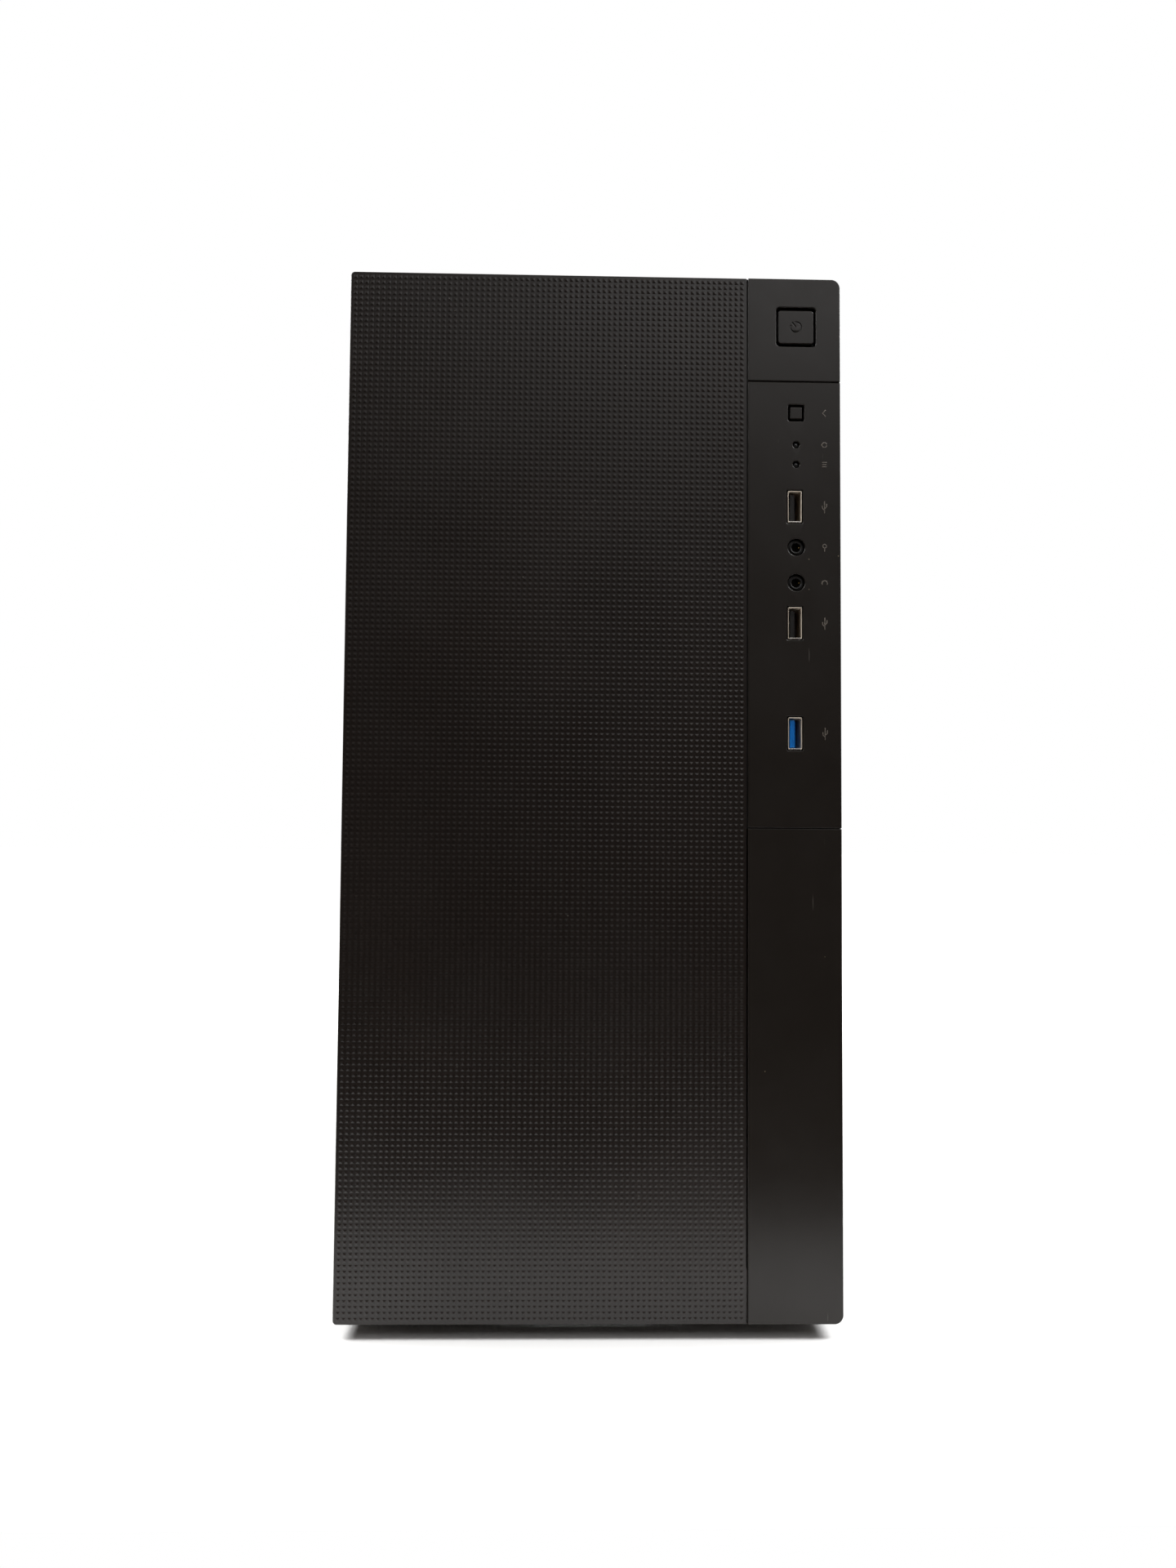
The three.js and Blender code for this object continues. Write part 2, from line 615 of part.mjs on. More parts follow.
const caseGroup = addGroup();
addPiece(caseGroup, "case_floor", caseSheet(CASE.floor, CASE.floor), "paintedSteel");
addPiece(caseGroup, "case_top", caseSheet(CASE.inTop, CASE.inTop - FLANGE), "paintedSteel");
addPiece(caseGroup, "case_front", caseFront(), "paintedSteel");
addPiece(caseGroup, "rear_panel", rearPanel(), "paintedSteel");
addPiece(caseGroup, "motherboard_tray", motherboardTray(), "paintedSteel");
addPiece(caseGroup, "drive_cage", driveCage(), "paintedSteel");
for (const [name, side] of [
  ["left", -1],
  ["right", 1],
]) {
  addPiece(caseGroup, name + "_side_panel", sidePanel(side), "paintedSteel");
  for (const [end, y] of [
    ["front", FEET.front],
    ["rear", FEET.back],
  ]) {
    addPiece(caseGroup, end + "_" + name + "_foot", foot(), "rubber", [side * FEET.x, y, 0]);
  }
  for (const [level, z] of Object.entries(SCREW_Z)) {
    const at = [side * SCREW_X, BACK - THUMBSCREW.head - THUMBSCREW.shank, z];
    addPiece(caseGroup, level + "_" + name + "_thumbscrew", thumbscrew(), "zincSteel", at);
  }
}
const coverZ = around(slotHeight(0), 18.4);
const slotCover = block([-34, 76], [CASE.inBack - 1.3, CASE.inBack - GAP], coverZ).add(
  block([-35, -34], [CASE.inBack - 11, CASE.inBack - GAP], coverZ),
);
addPiece(caseGroup, "slot_cover", slotCover, "zincSteel");

// ------------------------------------------------------------------ fans

// A fan's frame, lying on Z = 0 with its motor carrier there.
function fanFrame({ size, depth }) {
  const half = size / 2;
  const bore = half - 2.8;
  const hub = size / 6;
  const plate = (z) => extrude(roundedRect([-half, half], [-half, half], 4), "z", z, z + 4);
  const duct = rod("z", bore + 1.6, 0, depth, [0, 0], 28);
  const screws = [-1, 1].flatMap((u) =>
    [-1, 1].map((v) => rod("z", 2.2, -1, depth + 1, [u * (half - 7.5), v * (half - 7.5)], 6)),
  );
  const shell = join([plate(0), plate(depth - 4), duct]);
  const open = cut(shell, [rod("z", bore, -1, depth + 1, [0, 0], 28), ...screws]);
  const strut = (angle) => {
    const bar = new THREE.BoxGeometry(2 * bore + 2, 4, 3).translate(0, 0, 1.5);
    return solid(bar.rotateZ(angle));
  };
  return join([open, strut(Math.PI / 4), strut(-Math.PI / 4), rod("z", hub, 0, 3)]);
}

// A fan's rotor in the same frame: hub and seven pitched blades.
function fanRotor({ size, depth }) {
  const hub = size / 6;
  const tip = size / 2 - 5;
  const bladeCount = 7;
  const pitch = THREE.MathUtils.degToRad(36);
  const chord = size * 0.24;
  const blades = range(bladeCount).map((i) => {
    const blade = new THREE.BoxGeometry(tip - hub + 2, chord, 1.6);
    blade.rotateX(pitch).translate((tip + hub) / 2 - 1, 0, (depth + 3.5) / 2);
    return solid(blade.rotateZ((2 * Math.PI * i) / bladeCount));
  });
  return join([rod("z", hub, 3.6, depth - 1), ...blades]);
}

const fanGroup = addGroup();
const quarterTurn = Math.PI / 2;
const fans = [
  // The rear fan blows out: its motor carrier lies against the rear panel.
  ["rear", FAN, [REAR_FAN.x, CASE.inBack - GAP, REAR_FAN.z], [quarterTurn, 0, 0]],
  ["front", FAN, [FRONT_FAN.x, CASE.inFront + GAP, FRONT_FAN.z], [-quarterTurn, 0, 0]],
  ["cpu", CPU_FAN, [BOARD_FACE - 43.7, CPU.y, CPU.z], [0, -quarterTurn, 0]],
];
for (const [name, size, position, rotation] of fans) {
  addPiece(fanGroup, name + "_fan_frame", fanFrame(size), "blackPlastic", position, rotation);
  addPiece(fanGroup, name + "_fan_rotor", fanRotor(size), "blackPlastic", position, rotation);
}

// ------------------------------------------------------------------ power supply

// A closed steel box with a round fan opening below, a vented rear and a hole for the inlet.
function psuCase() {
  const outer = block(PSU_BOX.x, PSU_BOX.y, PSU_BOX.z);
  const shrink = ([from, to]) => [from + SHEET, to - SHEET];
  const inner = block(shrink(PSU_BOX.x), shrink(PSU_BOX.y), shrink(PSU_BOX.z));
  const low = PSU_BOX.z[0];
  const fanHole = rod("z", 57, low - 1, low + SHEET + 1, [PSU_FAN.x, PSU_FAN.y], 32);
  const rear = [PSU_BOX.y[1] - SHEET - 1, PSU_BOX.y[1] + 1];
  const inletHole = block(
    [INLET.x[0] + 1.4, INLET.x[1] - 1.4],
    rear,
    [INLET.z[0] + 1.4, INLET.z[1] - 1.4],
  );
  const vents = range(9).map((i) => block([-66 + i * 8.5, -61.5 + i * 8.5], rear, [346, 414]));
  const exit = block([30, 56], [PSU_BOX.y[0] - 1, PSU_BOX.y[0] + 2], [366, 392]);
  const shell = cut(outer, [inner, fanHole, inletHole, exit, ...vents]);
  // The motor carrier: a cross under the rotor, welded into the fan opening.
  const carrier = [0, quarterTurn].map((angle) => {
    const bar = new THREE.BoxGeometry(118, 5, 2);
    return solid(bar.rotateZ(angle).translate(PSU_FAN.x, PSU_FAN.y, low + 1));
  });
  return join([shell, ...carrier]);
}

// Wire guard under the fan opening: rings on two crossed wires.
function psuFanGuard() {
  const wire = 2;
  const rings = [22, 40, 58].map((radius) =>
    rod("z", radius, -wire, 0).subtract(rod("z", radius - wire, -wire - 1, 1)),
  );
  const cross = [quarterTurn / 2, -quarterTurn / 2].map((angle) =>
    solid(new THREE.BoxGeometry(132, wire, wire).translate(0, 0, -wire / 2).rotateZ(angle)),
  );
  return join([...rings, ...cross]);
}

// Mains inlet and switch housing in one moulding, with the inlet's three pins.
function psuInlet() {
  const { x, z, wall, flange } = INLET;
  const wallBack = PSU_BOX.y[1];
  const front = wallBack + GAP + flange;
  const plate = block(x, [wallBack + GAP, front], z);
  const inset = 1.7;
  const depth = 20;
  const body = block(
    [x[0] + inset, x[1] - inset],
    [front - depth, front - 1],
    [z[0] + inset, z[1] - inset],
  );
  const socketX = [x[0] + inset + wall, x[0] + inset + wall + 24.4];
  const socket = block(socketX, [front - 16, front + 1], around(SWITCH.z, 16.6));
  const well = block(
    around(SWITCH.x, SWITCH.width),
    [front - 12, front + 1],
    around(SWITCH.z, SWITCH.height),
  );
  const middle = (socketX[0] + socketX[1]) / 2;
  const pin = (px, pz) => block(around(middle + px, 2), [front - 17, front - 2], around(SWITCH.z + pz, 4));
  return join([cut(plate.add(body), [socket, well]), pin(-7, -2), pin(0, 2), pin(7, -2)]);
}

// The rocker about its own pivot, a little domed, drawn level.
function psuRocker() {
  const half = SWITCH.height / 2 - 1;
  const profile = new THREE.Shape();
  profile.moveTo(-4, -half + 3);
  profile.lineTo(3, -half);
  profile.quadraticCurveTo(1.6, 0, 3, half);
  profile.lineTo(-4, half - 3);
  const width = SWITCH.width - 1;
  return extrude(profile, "x", -width / 2, width / 2);
}

const psuGroup = addGroup();
const psuLow = PSU_BOX.z[0];
const switchPivot = [SWITCH.x, PSU_BOX.y[1] + 0.5, SWITCH.z];
addPiece(psuGroup, "psu_case", psuCase(), "zincSteel");
addPiece(psuGroup, "psu_fan_guard", psuFanGuard(), "zincSteel", [PSU_FAN.x, PSU_FAN.y, psuLow - GAP]);
addPiece(psuGroup, "psu_fan_rotor", fanRotor(FAN), "blackPlastic", [PSU_FAN.x, PSU_FAN.y, psuLow]);
addPiece(psuGroup, "psu_inlet", psuInlet(), "blackPlastic");
addPiece(psuGroup, "psu_rocker", psuRocker(), "blackPlastic", switchPivot, [
  THREE.MathUtils.degToRad(SWITCH.onTilt),
  0,
  0,
]);

// ------------------------------------------------------------------ motherboard and what is on it

// A part on the motherboard: it stands out from the board's face by its height.
function onBoard(height, y, z) {
  return block([BOARD_FACE - height, BOARD_FACE + 0.5], y, z);
}

function motherboard() {
  const board = block([BOARD_FACE, BOARD_BACK], BOARD_Y, BOARD_Z);
  const socket = onBoard(7, around(CPU.y, 45), around(CPU.z, 45));
  const memorySlots = range(4).map((i) => onBoard(8, around(memoryY(i), 6.4), [188, 328]));
  const cardSlots = range(4).map((i) => {
    const length = i === 0 || i === 2 ? 89 : 40;
    return onBoard(11, [150 - length, 150], around(slotHeight(i), 7.4));
  });
  const edge = BOARD_Y[0] + 2;
  const powerSocket = onBoard(13, [edge, edge + 10], [240, 292]);
  const driveSockets = range(3).map((i) => onBoard(9, [edge, edge + 9], [116 + i * 18, 130 + i * 18]));
  const headers = onBoard(8, [edge + 4, edge + 26], [92, 97]);
  const chipset = onBoard(10, [0, 38], [108, 146]);
  const finCount = 8;
  const regulators = join([
    onBoard(4, [62, 152], [306, 324]),
    ...range(finCount).map((i) => onBoard(16, [64 + i * 11.5, 69 + i * 11.5], [306, 324])),
  ]);
  const can = ([y, z, radius, height]) =>
    rod("x", radius, BOARD_FACE - height, BOARD_FACE + 0.5, [y, z], 10);
  // Capacitors and the clock's battery: where each stands, its radius and its height.
  const cans = [
    [166, 205, 5, 12],
    [166, 190, 5, 12],
    [80, 218, 4, 10],
    [92, 218, 4, 10],
    [104, 218, 4, 10],
    [50, 165, 10, 4],
    [8, 215, 4, 10],
    [8, 228, 4, 10],
  ].map(can);
  return join([
    board,
    socket,
    ...memorySlots,
    ...cardSlots,
    powerSocket,
    ...driveSockets,
    headers,
    chipset,
    regulators,
    ...cans,
  ]);
}

const memoryY = (index) => 22 + index * 9.5;

function memoryModule() {
  const board = block([36, BOARD_FACE - 8 - GAP], [-0.7, 0.7], around(258, 133.4));
  const chips = range(8).map((i) => {
    const low = 198 + i * 15.3;
    return block([41, 54], [-1.9, 1.9], [low, low + 11]);
  });
  return join([board, ...chips]);
}

// Connectors that look out through the rear, from the top down: where each is, its width along
// the board and its height off it.
const REAR_PORTS = [
  { z: 317, width: 14, height: 28 },
  { z: 295, width: 18, height: 13 },
  { z: 271, width: 15, height: 15 },
  { z: 249, width: 15, height: 15 },
  { z: 226, width: 16, height: 29 },
  { z: 205, width: 13, height: 15 },
  { z: 183, width: 14, height: 33 },
];

function rearPorts() {
  const face = BOARD_FACE - GAP;
  const back = [CASE.inBack - 18, CASE.back + 0.8];
  const strip = block([face - 1.2, face], [back[0], CASE.inBack - 3], [174, 326]);
  const sockets = REAR_PORTS.map(({ z, width, height }) => {
    const outer = block([face - height, face], back, around(z, width));
    const recess = block([face - height + 1, face - 1], [back[1] - 7, back[1] + 1], around(z, width - 2));
    return outer.subtract(recess);
  });
  return join([strip, ...sockets]);
}

// The shield that closes the aperture around the connectors, held by a lip inside the case.
function ioShield() {
  const clear = 0.3;
  const [x, z] = [IO_APERTURE.x, IO_APERTURE.z];
  const rim = 1.4; // how far the lip laps over the sheet, and its width inside the aperture
  const grown = ([from, to], by) => [from - by, to + by];
  const plate = block(grown(x, -clear), [CASE.inBack - 1, CASE.back], grown(z, -clear));
  const lip = block(grown(x, rim), [CASE.inBack - 1.1, CASE.inBack - GAP], grown(z, rim));
  const hollow = block(grown(x, -rim), [CASE.inBack - 3, CASE.inBack + 0.2], grown(z, -rim));
  const face = BOARD_FACE - GAP;
  const holes = REAR_PORTS.map(({ z: at, width, height }) =>
    block([face - height - 0.4, face + 0.4], [CASE.inBack - 3, CASE.back + 1], around(at, width + 0.8)),
  );
  return cut(plate.add(lip), [hollow, ...holes]);
}

// Base and fins, from the processor's socket to the fan.
function heatsink() {
  const base = BOARD_FACE - 7 - GAP;
  const foot = block([base - 5, base], around(CPU.y, 60), around(CPU.z, 60));
  const finCount = 17;
  const fins = range(finCount).map((i) => {
    const y = CPU.y - 40 + (i * (80 - 1.6)) / (finCount - 1);
    return block([BOARD_FACE - 43.4, base - 4], [y, y + 1.6], around(CPU.z, 80));
  });
  const spine = block([base - 9, base - 3], around(CPU.y, 80), around(CPU.z, 80));
  return join([foot, spine, ...fins]);
}

// A 3.5 inch drive lying on its board: the board and the lid stand a step proud of the body.
function drive({ width, length, height }, step) {
  const body = block(around(0, width), [0, length], [0, height]);
  const board = block(around(0, width - 8), [6, length - 12], [-step, 1]);
  const lid = block(around(0, width - 6), [4, length - 4], [height - 1, height + step]);
  const plug = block([-18, 30], [length - 6, length + 1], [1.5, 5.5]);
  return join([body, board, lid]).subtract(plug);
}

// A round cable along a smooth curve through its points.
function cable(points, radius) {
  const path = new THREE.CatmullRomCurve3(points.map((point) => new THREE.Vector3(...point)));
  const options = { steps: 20, bevelEnabled: false, extrudePath: path };
  return solid(new THREE.ExtrudeGeometry(circle(0, 0, radius, 8), options));
}

const boardGroup = addGroup();
addPiece(boardGroup, "motherboard", motherboard(), "circuitBoard");
addPiece(boardGroup, "rear_ports", rearPorts(), "plated");
addPiece(boardGroup, "io_shield", ioShield(), "zincSteel");
addPiece(boardGroup, "cpu_heatsink", heatsink(), "aluminium");
addPiece(boardGroup, "memory_module_1", memoryModule(), "circuitBoard", [0, memoryY(1), 0]);
addPiece(boardGroup, "memory_module_2", memoryModule(), "circuitBoard", [0, memoryY(3), 0]);

const driveGroup = addGroup();
const shelfTop = CASE.inFloor + 5 + SHEET + GAP + 0.8;
addPiece(driveGroup, "hard_drive", drive(HARD_DRIVE, 0.8), "aluminium", [0, CAGE.y[0] + 3, shelfTop]);
const ssdPlace = [TRAY_X - GAP - SSD.height - 0.2, -57, 180];
const ssd = block([0, SSD.height], [-SSD.width, 0], [0, SSD.length]);
const ssdPlug = block([1.5, 5], [-50, -16], [SSD.length - 5, SSD.length + 1]);
addPiece(driveGroup, "solid_state_drive", ssd.subtract(ssdPlug), "blackPlastic", ssdPlace);

const cableGroup = addGroup();
const powerRoute = [
  [43, PSU_BOX.y[0] - GAP, 379],
  [42, 26, 377],
  [36, 2, 366],
  [27, -20, 344],
  [20, -36, 316],
  [19.5, -46, 292.5],
  [31, BOARD_Y[0] + 7, 273],
  [45.5, BOARD_Y[0] + 7, 266.6],
  [BOARD_FACE - 13 - GAP, BOARD_Y[0] + 7, 266],
];
const panelRoute = [
  [82, IO_BOARD.back + GAP, 259],
  [82, -164, 259],
  [87, -140, 248],
  [89, -112, 205],
  [86, -86, 152],
  [75, -69, 128],
  [64, -66, 110],
  [63, -60, 97],
  [66.5, BOARD_Y[0] + 5, 94.5],
];
const driveRoute = [
  [16, CAGE.y[0] + 3 + HARD_DRIVE.length + GAP, shelfTop + 6],
  [16, 4, shelfTop + 7],
  [20, 20, 34],
  [28, 22, 58],
  [32, 4, 88],
  [35, -24, 110],
  [41, -40, 119],
  [51, BOARD_Y[0] + 7.6, 123.6],
  [BOARD_FACE - 9 - GAP, BOARD_Y[0] + 7, 124],
];
addPiece(cableGroup, "main_power_cable", cable(powerRoute, 5), "cable");
addPiece(cableGroup, "front_panel_cable", cable(panelRoute, 2.5), "cable");
addPiece(cableGroup, "drive_cable", cable(driveRoute, 2.5), "cable");

export default tower;
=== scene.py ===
import math
import random

import bmesh
import bpy
from mathutils import Matrix, Vector
from mathutils.geometry import tessellate_polygon


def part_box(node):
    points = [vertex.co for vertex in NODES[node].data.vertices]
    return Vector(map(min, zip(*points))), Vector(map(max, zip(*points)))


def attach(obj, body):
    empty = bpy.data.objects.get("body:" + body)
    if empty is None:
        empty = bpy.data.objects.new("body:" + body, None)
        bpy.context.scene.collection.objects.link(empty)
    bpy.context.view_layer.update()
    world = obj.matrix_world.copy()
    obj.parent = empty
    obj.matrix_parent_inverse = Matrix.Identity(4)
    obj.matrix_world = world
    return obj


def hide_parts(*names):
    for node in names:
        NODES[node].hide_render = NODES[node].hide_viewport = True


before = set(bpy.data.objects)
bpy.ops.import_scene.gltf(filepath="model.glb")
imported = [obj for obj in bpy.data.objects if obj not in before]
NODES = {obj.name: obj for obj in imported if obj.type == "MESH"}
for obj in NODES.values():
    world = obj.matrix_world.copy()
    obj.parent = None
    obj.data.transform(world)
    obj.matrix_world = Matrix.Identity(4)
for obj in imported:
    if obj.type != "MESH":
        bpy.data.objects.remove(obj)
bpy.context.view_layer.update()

# A desktop computer tower. Metres, in the frame of the CAD model: X to the right, Y to the back, Z up.

MM = 0.001
scene = bpy.context.scene


def low(node):
    """The lowest corner of a CAD node's box."""
    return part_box(node)[0]


def high(node):
    """The highest corner of a CAD node's box."""
    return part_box(node)[1]


def middle(node):
    """The centre of a CAD node's box."""
    lowest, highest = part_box(node)
    return (lowest + highest) / 2


# ------------------------------------------------------------------ camera, floor and light

FACE_LOW = low("lower_cover").z
FACE_Y = low("textured_panel").y
CAMERA_PLACE = (-0.0126, FACE_Y - 0.473, FACE_LOW + 0.1876)
CAMERA_YAW = math.radians(-1.287)
CAMERA_PITCH = math.radians(2.92)
CAMERA_ROLL = math.radians(-0.417)


def make_camera():
    """The place that the photograph was taken from: close, and a little below the middle."""
    data = bpy.data.cameras.new("camera")
    data.sensor_width = 36
    data.lens = 27.2
    data.clip_start = 0.01
    camera = bpy.data.objects.new("camera", data)
    scene.collection.objects.link(camera)
    turn = (
        Matrix.Rotation(CAMERA_YAW, 4, "Z")
        @ Matrix.Rotation(CAMERA_PITCH, 4, "X")
        @ Matrix.Rotation(CAMERA_ROLL, 4, "Y")
        @ Matrix.Rotation(math.radians(90), 4, "X")
    )
    camera.matrix_world = Matrix.Translation(CAMERA_PLACE) @ turn
    scene.camera = camera


def make_light(name, place, aim, size, power, colour=(1, 1, 1)):
    """A rectangular softbox at a place, turned to what it lights."""
    data = bpy.data.lights.new(name, "AREA")
    data.shape = "RECTANGLE"
    data.size, data.size_y = size
    data.energy = power
    data.color = colour
    light = bpy.data.objects.new(name, data)
    direction = Vector(aim) - Vector(place)
    light.matrix_world = Matrix.Translation(place) @ direction.to_track_quat("-Z", "Y").to_matrix().to_4x4()
    light.visible_camera = False
    scene.collection.objects.link(light)


def make_world():
    """White where the camera sees it, and a dim warm room for everything else."""
    world = bpy.data.worlds.new("studio")
    scene.world = world
    world.use_nodes = True
    tree = world.node_tree
    tree.nodes.clear()
    output = tree.nodes.new("ShaderNodeOutputWorld")
    path = tree.nodes.new("ShaderNodeLightPath")
    mix = tree.nodes.new("ShaderNodeMixShader")
    dim = tree.nodes.new("ShaderNodeBackground")
    dim.inputs["Color"].default_value = (1, 0.84, 0.74, 1)
    dim.inputs["Strength"].default_value = 0.1
    white = tree.nodes.new("ShaderNodeBackground")
    white.inputs["Color"].default_value = (1, 1, 1, 1)
    white.inputs["Strength"].default_value = 1
    tree.links.new(path.outputs["Is Camera Ray"], mix.inputs[0])
    tree.links.new(dim.outputs[0], mix.inputs[1])
    tree.links.new(white.outputs[0], mix.inputs[2])
    tree.links.new(mix.outputs[0], output.inputs[0])


def make_floor(material):
    """The sheet that the tower stands on; it ends a little in front of it."""
    mesh = bpy.data.meshes.new("floor")
    front, back, half = FACE_Y - 0.127, 30, 30
    corners = [(-half, front, 0), (half, front, 0), (half, back, 0), (-half, back, 0)]
    mesh.from_pydata(corners, [], [(0, 1, 2, 3)])
    mesh.materials.append(material)
    floor = bpy.data.objects.new("floor", mesh)
    scene.collection.objects.link(floor)


scene.view_settings.view_transform = "Standard"


# ------------------------------------------------------------------ materials


class Shader:
    """A node material: a Principled shader, and short calls for what feeds it."""

    def __init__(self, name, colour, roughness, metallic=0.0, **constants):
        self.material = bpy.data.materials.new(name)
        self.material.use_nodes = True
        self.tree = self.material.node_tree
        self.principled = self.tree.nodes["Principled BSDF"]
        self.coordinates = self.node("ShaderNodeTexCoord").outputs["Object"]
        self.colour = colour
        self.principled.inputs["Base Color"].default_value = (*colour, 1)
        self.principled.inputs["Roughness"].default_value = roughness
        self.principled.inputs["Metallic"].default_value = metallic
        for key, value in constants.items():
            self.principled.inputs[key.replace("_", " ")].default_value = value

    def node(self, kind, **settings):
        """A new shader node with its settings."""
        made = self.tree.nodes.new(kind)
        for key, value in settings.items():
            setattr(made, key, value)
        return made

    def link(self, source, target):
        self.tree.links.new(source, target)

    def stretched(self, scale):
        """The object's own coordinates, stretched along each axis."""
        mapping = self.node("ShaderNodeMapping")
        mapping.inputs["Scale"].default_value = scale
        self.link(self.coordinates, mapping.inputs["Vector"])
        return mapping.outputs[0]

    def noise(self, size, detail=2.0, roughness=0.5, vector=None):
        """Noise whose features are about size metres across."""
        noise = self.node("ShaderNodeTexNoise")
        noise.inputs["Scale"].default_value = 1 / size
        noise.inputs["Detail"].default_value = detail
        noise.inputs["Roughness"].default_value = roughness
        self.link(vector or self.coordinates, noise.inputs["Vector"])
        return noise.outputs["Fac"]

    def cells(self, size, feature="F1", vector=None, randomness=1.0):
        """Cells of about size metres; the node itself, since its distance and colour are both used."""
        cells = self.node("ShaderNodeTexVoronoi", feature=feature)
        cells.inputs["Scale"].default_value = 1 / size
        cells.inputs["Randomness"].default_value = randomness
        self.link(vector or self.coordinates, cells.inputs["Vector"])
        return cells

    def math(self, operation, first, second=0.0):
        """One operation on two numbers or sockets."""
        made = self.node("ShaderNodeMath", operation=operation)
        for socket, value in zip(made.inputs, (first, second)):
            if isinstance(value, (int, float)):
                socket.default_value = value
            else:
                self.link(value, socket)
        return made.outputs[0]

    def remap(self, value, start, end, to_start=0.0, to_end=1.0):
        """A smooth step from one value to another."""
        made = self.node("ShaderNodeMapRange", interpolation_type="SMOOTHSTEP")
        limits = (start, end, to_start, to_end)
        for key, limit in zip(("From Min", "From Max", "To Min", "To Max"), limits):
            made.inputs[key].default_value = limit
        self.link(value, made.inputs["Value"])
        return made.outputs[0]

    def paint(self, colour, factor):
        """Lays a colour over what the shader has, where factor is high."""
        mix = self.node("ShaderNodeMix", data_type="RGBA")
        base = self.principled.inputs["Base Color"]
        if base.is_linked:
            self.link(base.links[0].from_socket, mix.inputs[6])
        else:
            mix.inputs[6].default_value = base.default_value
        mix.inputs[7].default_value = (*colour, 1)
        self.link(factor, mix.inputs[0])
        self.link(mix.outputs[2], base)

    def mottle(self, colour, size, detail, start, end, most):
        """Soft patches of another colour, about size metres across."""
        self.paint(colour, self.remap(self.noise(size, detail), start, end, 0, most))

    def vary_roughness(self, factor, lowest, highest):
        """Lets the gloss wander between two values."""
        self.link(self.remap(factor, 0.3, 0.7, lowest, highest), self.principled.inputs["Roughness"])

    def bump(self, height, distance):
        """Relief on top of what bumps there are: height 1 stands this far off the surface."""
        made = self.node("ShaderNodeBump")
        made.inputs["Distance"].default_value = distance
        made.inputs["Strength"].default_value = 1
        self.link(height, made.inputs["Height"])
        normal = self.principled.inputs["Normal"]
        if normal.is_linked:
            self.link(normal.links[0].from_socket, made.inputs["Normal"])
        self.link(made.outputs[0], normal)

    def dust(self, share, colour=(0.24, 0.23, 0.21), size=2.4 * MM):
        """Specks of dust: small dots in a share of the cells of a coarse grid."""
        cells = self.cells(size)
        dot = self.remap(cells.outputs["Distance"], 0.05, 0.1, 1, 0)
        chosen = self.node("ShaderNodeSeparateColor")
        self.link(cells.outputs["Color"], chosen.inputs[0])
        few = self.math("LESS_THAN", chosen.outputs[0], share)
        faint = self.math("MULTIPLY", chosen.outputs[1], 0.8)
        self.paint(colour, self.math("MULTIPLY", self.math("MULTIPLY", dot, few), faint))

    def edge_wear(self, colour, amount, width=0.5 * MM):
        """Lightens the sharp edges, where hands and tables have rubbed them."""
        rounded_normal = self.node("ShaderNodeBevel", samples=4)
        rounded_normal.inputs["Radius"].default_value = width
        facing = self.node("ShaderNodeVectorMath", operation="DOT_PRODUCT")
        self.link(rounded_normal.outputs[0], facing.inputs[0])
        self.link(self.node("ShaderNodeNewGeometry").outputs["Normal"], facing.inputs[1])
        edges = self.remap(facing.outputs["Value"], 0.85, 0.98, 1, 0)
        patches = self.remap(self.noise(9 * MM, 3), 0.42, 0.62)
        self.paint(colour, self.math("MULTIPLY", self.math("MULTIPLY", edges, patches), amount))


def times(colour, factor):
    """A colour made lighter or darker."""
    return [channel * factor for channel in colour]


def moulded_plastic(name, colour, roughness, grain, depth, smudge=0.08, dust=0.05):
    """Spark-eroded ABS: a fine grain, broad smudges that change the gloss, and specks of dust."""
    shader = Shader(name, colour, roughness)
    lighter = [min(1, channel * 1.55 + 0.002) for channel in colour]
    shader.mottle(lighter, 70 * MM, 3, 0.42, 0.75, 0.5)
    shader.vary_roughness(shader.noise(38 * MM, 4, 0.6), roughness - smudge, roughness + smudge)
    shader.bump(shader.noise(grain, 2), depth)
    shader.edge_wear([channel * 3 + 0.01 for channel in colour], 0.5)
    shader.dust(dust)
    return shader.material


def satin_cover():
    """The smooth covers: finer grain, with hairline scratches and pale scuffs."""
    shader = Shader("satin_cover", (0.0112, 0.0086, 0.0068), 0.3, Specular_IOR_Level=0.4)
    shader.mottle((0.0155, 0.0125, 0.0105), 45 * MM, 4, 0.45, 0.8, 0.6)
    shader.vary_roughness(shader.noise(24 * MM, 5, 0.65), 0.28, 0.34)
    shader.bump(shader.noise(0.28 * MM, 2), 0.012 * MM)
    along = shader.stretched((1, 1, 0.05))
    scratch = shader.remap(shader.noise(0.9 * MM, 2, vector=along), 0.735, 0.76)
    scuffed = shader.remap(shader.noise(16 * MM, 2), 0.56, 0.64)
    shader.paint((0.075, 0.068, 0.06), shader.math("MULTIPLY", scratch, scuffed))
    shader.edge_wear((0.05, 0.048, 0.045), 0.5)
    shader.dust(0.03, (0.34, 0.28, 0.2), 3 * MM)
    return shader.material


def powder_coat(name, colour, roughness):
    """Powder coating on sheet steel: an even orange peel and small pits."""
    coat = {"Coat_Weight": 0.05, "Coat_Roughness": 0.35}
    shader = Shader(name, colour, roughness, Specular_IOR_Level=0.4, **coat)
    shader.mottle(times(colour, 1.3), 90 * MM, 3, 0.4, 0.75, 0.6)
    shader.vary_roughness(shader.noise(22 * MM, 5), roughness - 0.015, roughness + 0.025)
    shader.bump(shader.noise(0.55 * MM, 2, 0.6), 0.035 * MM)
    shader.edge_wear((0.22, 0.22, 0.22), 0.35)
    shader.dust(0.02)
    return shader.material


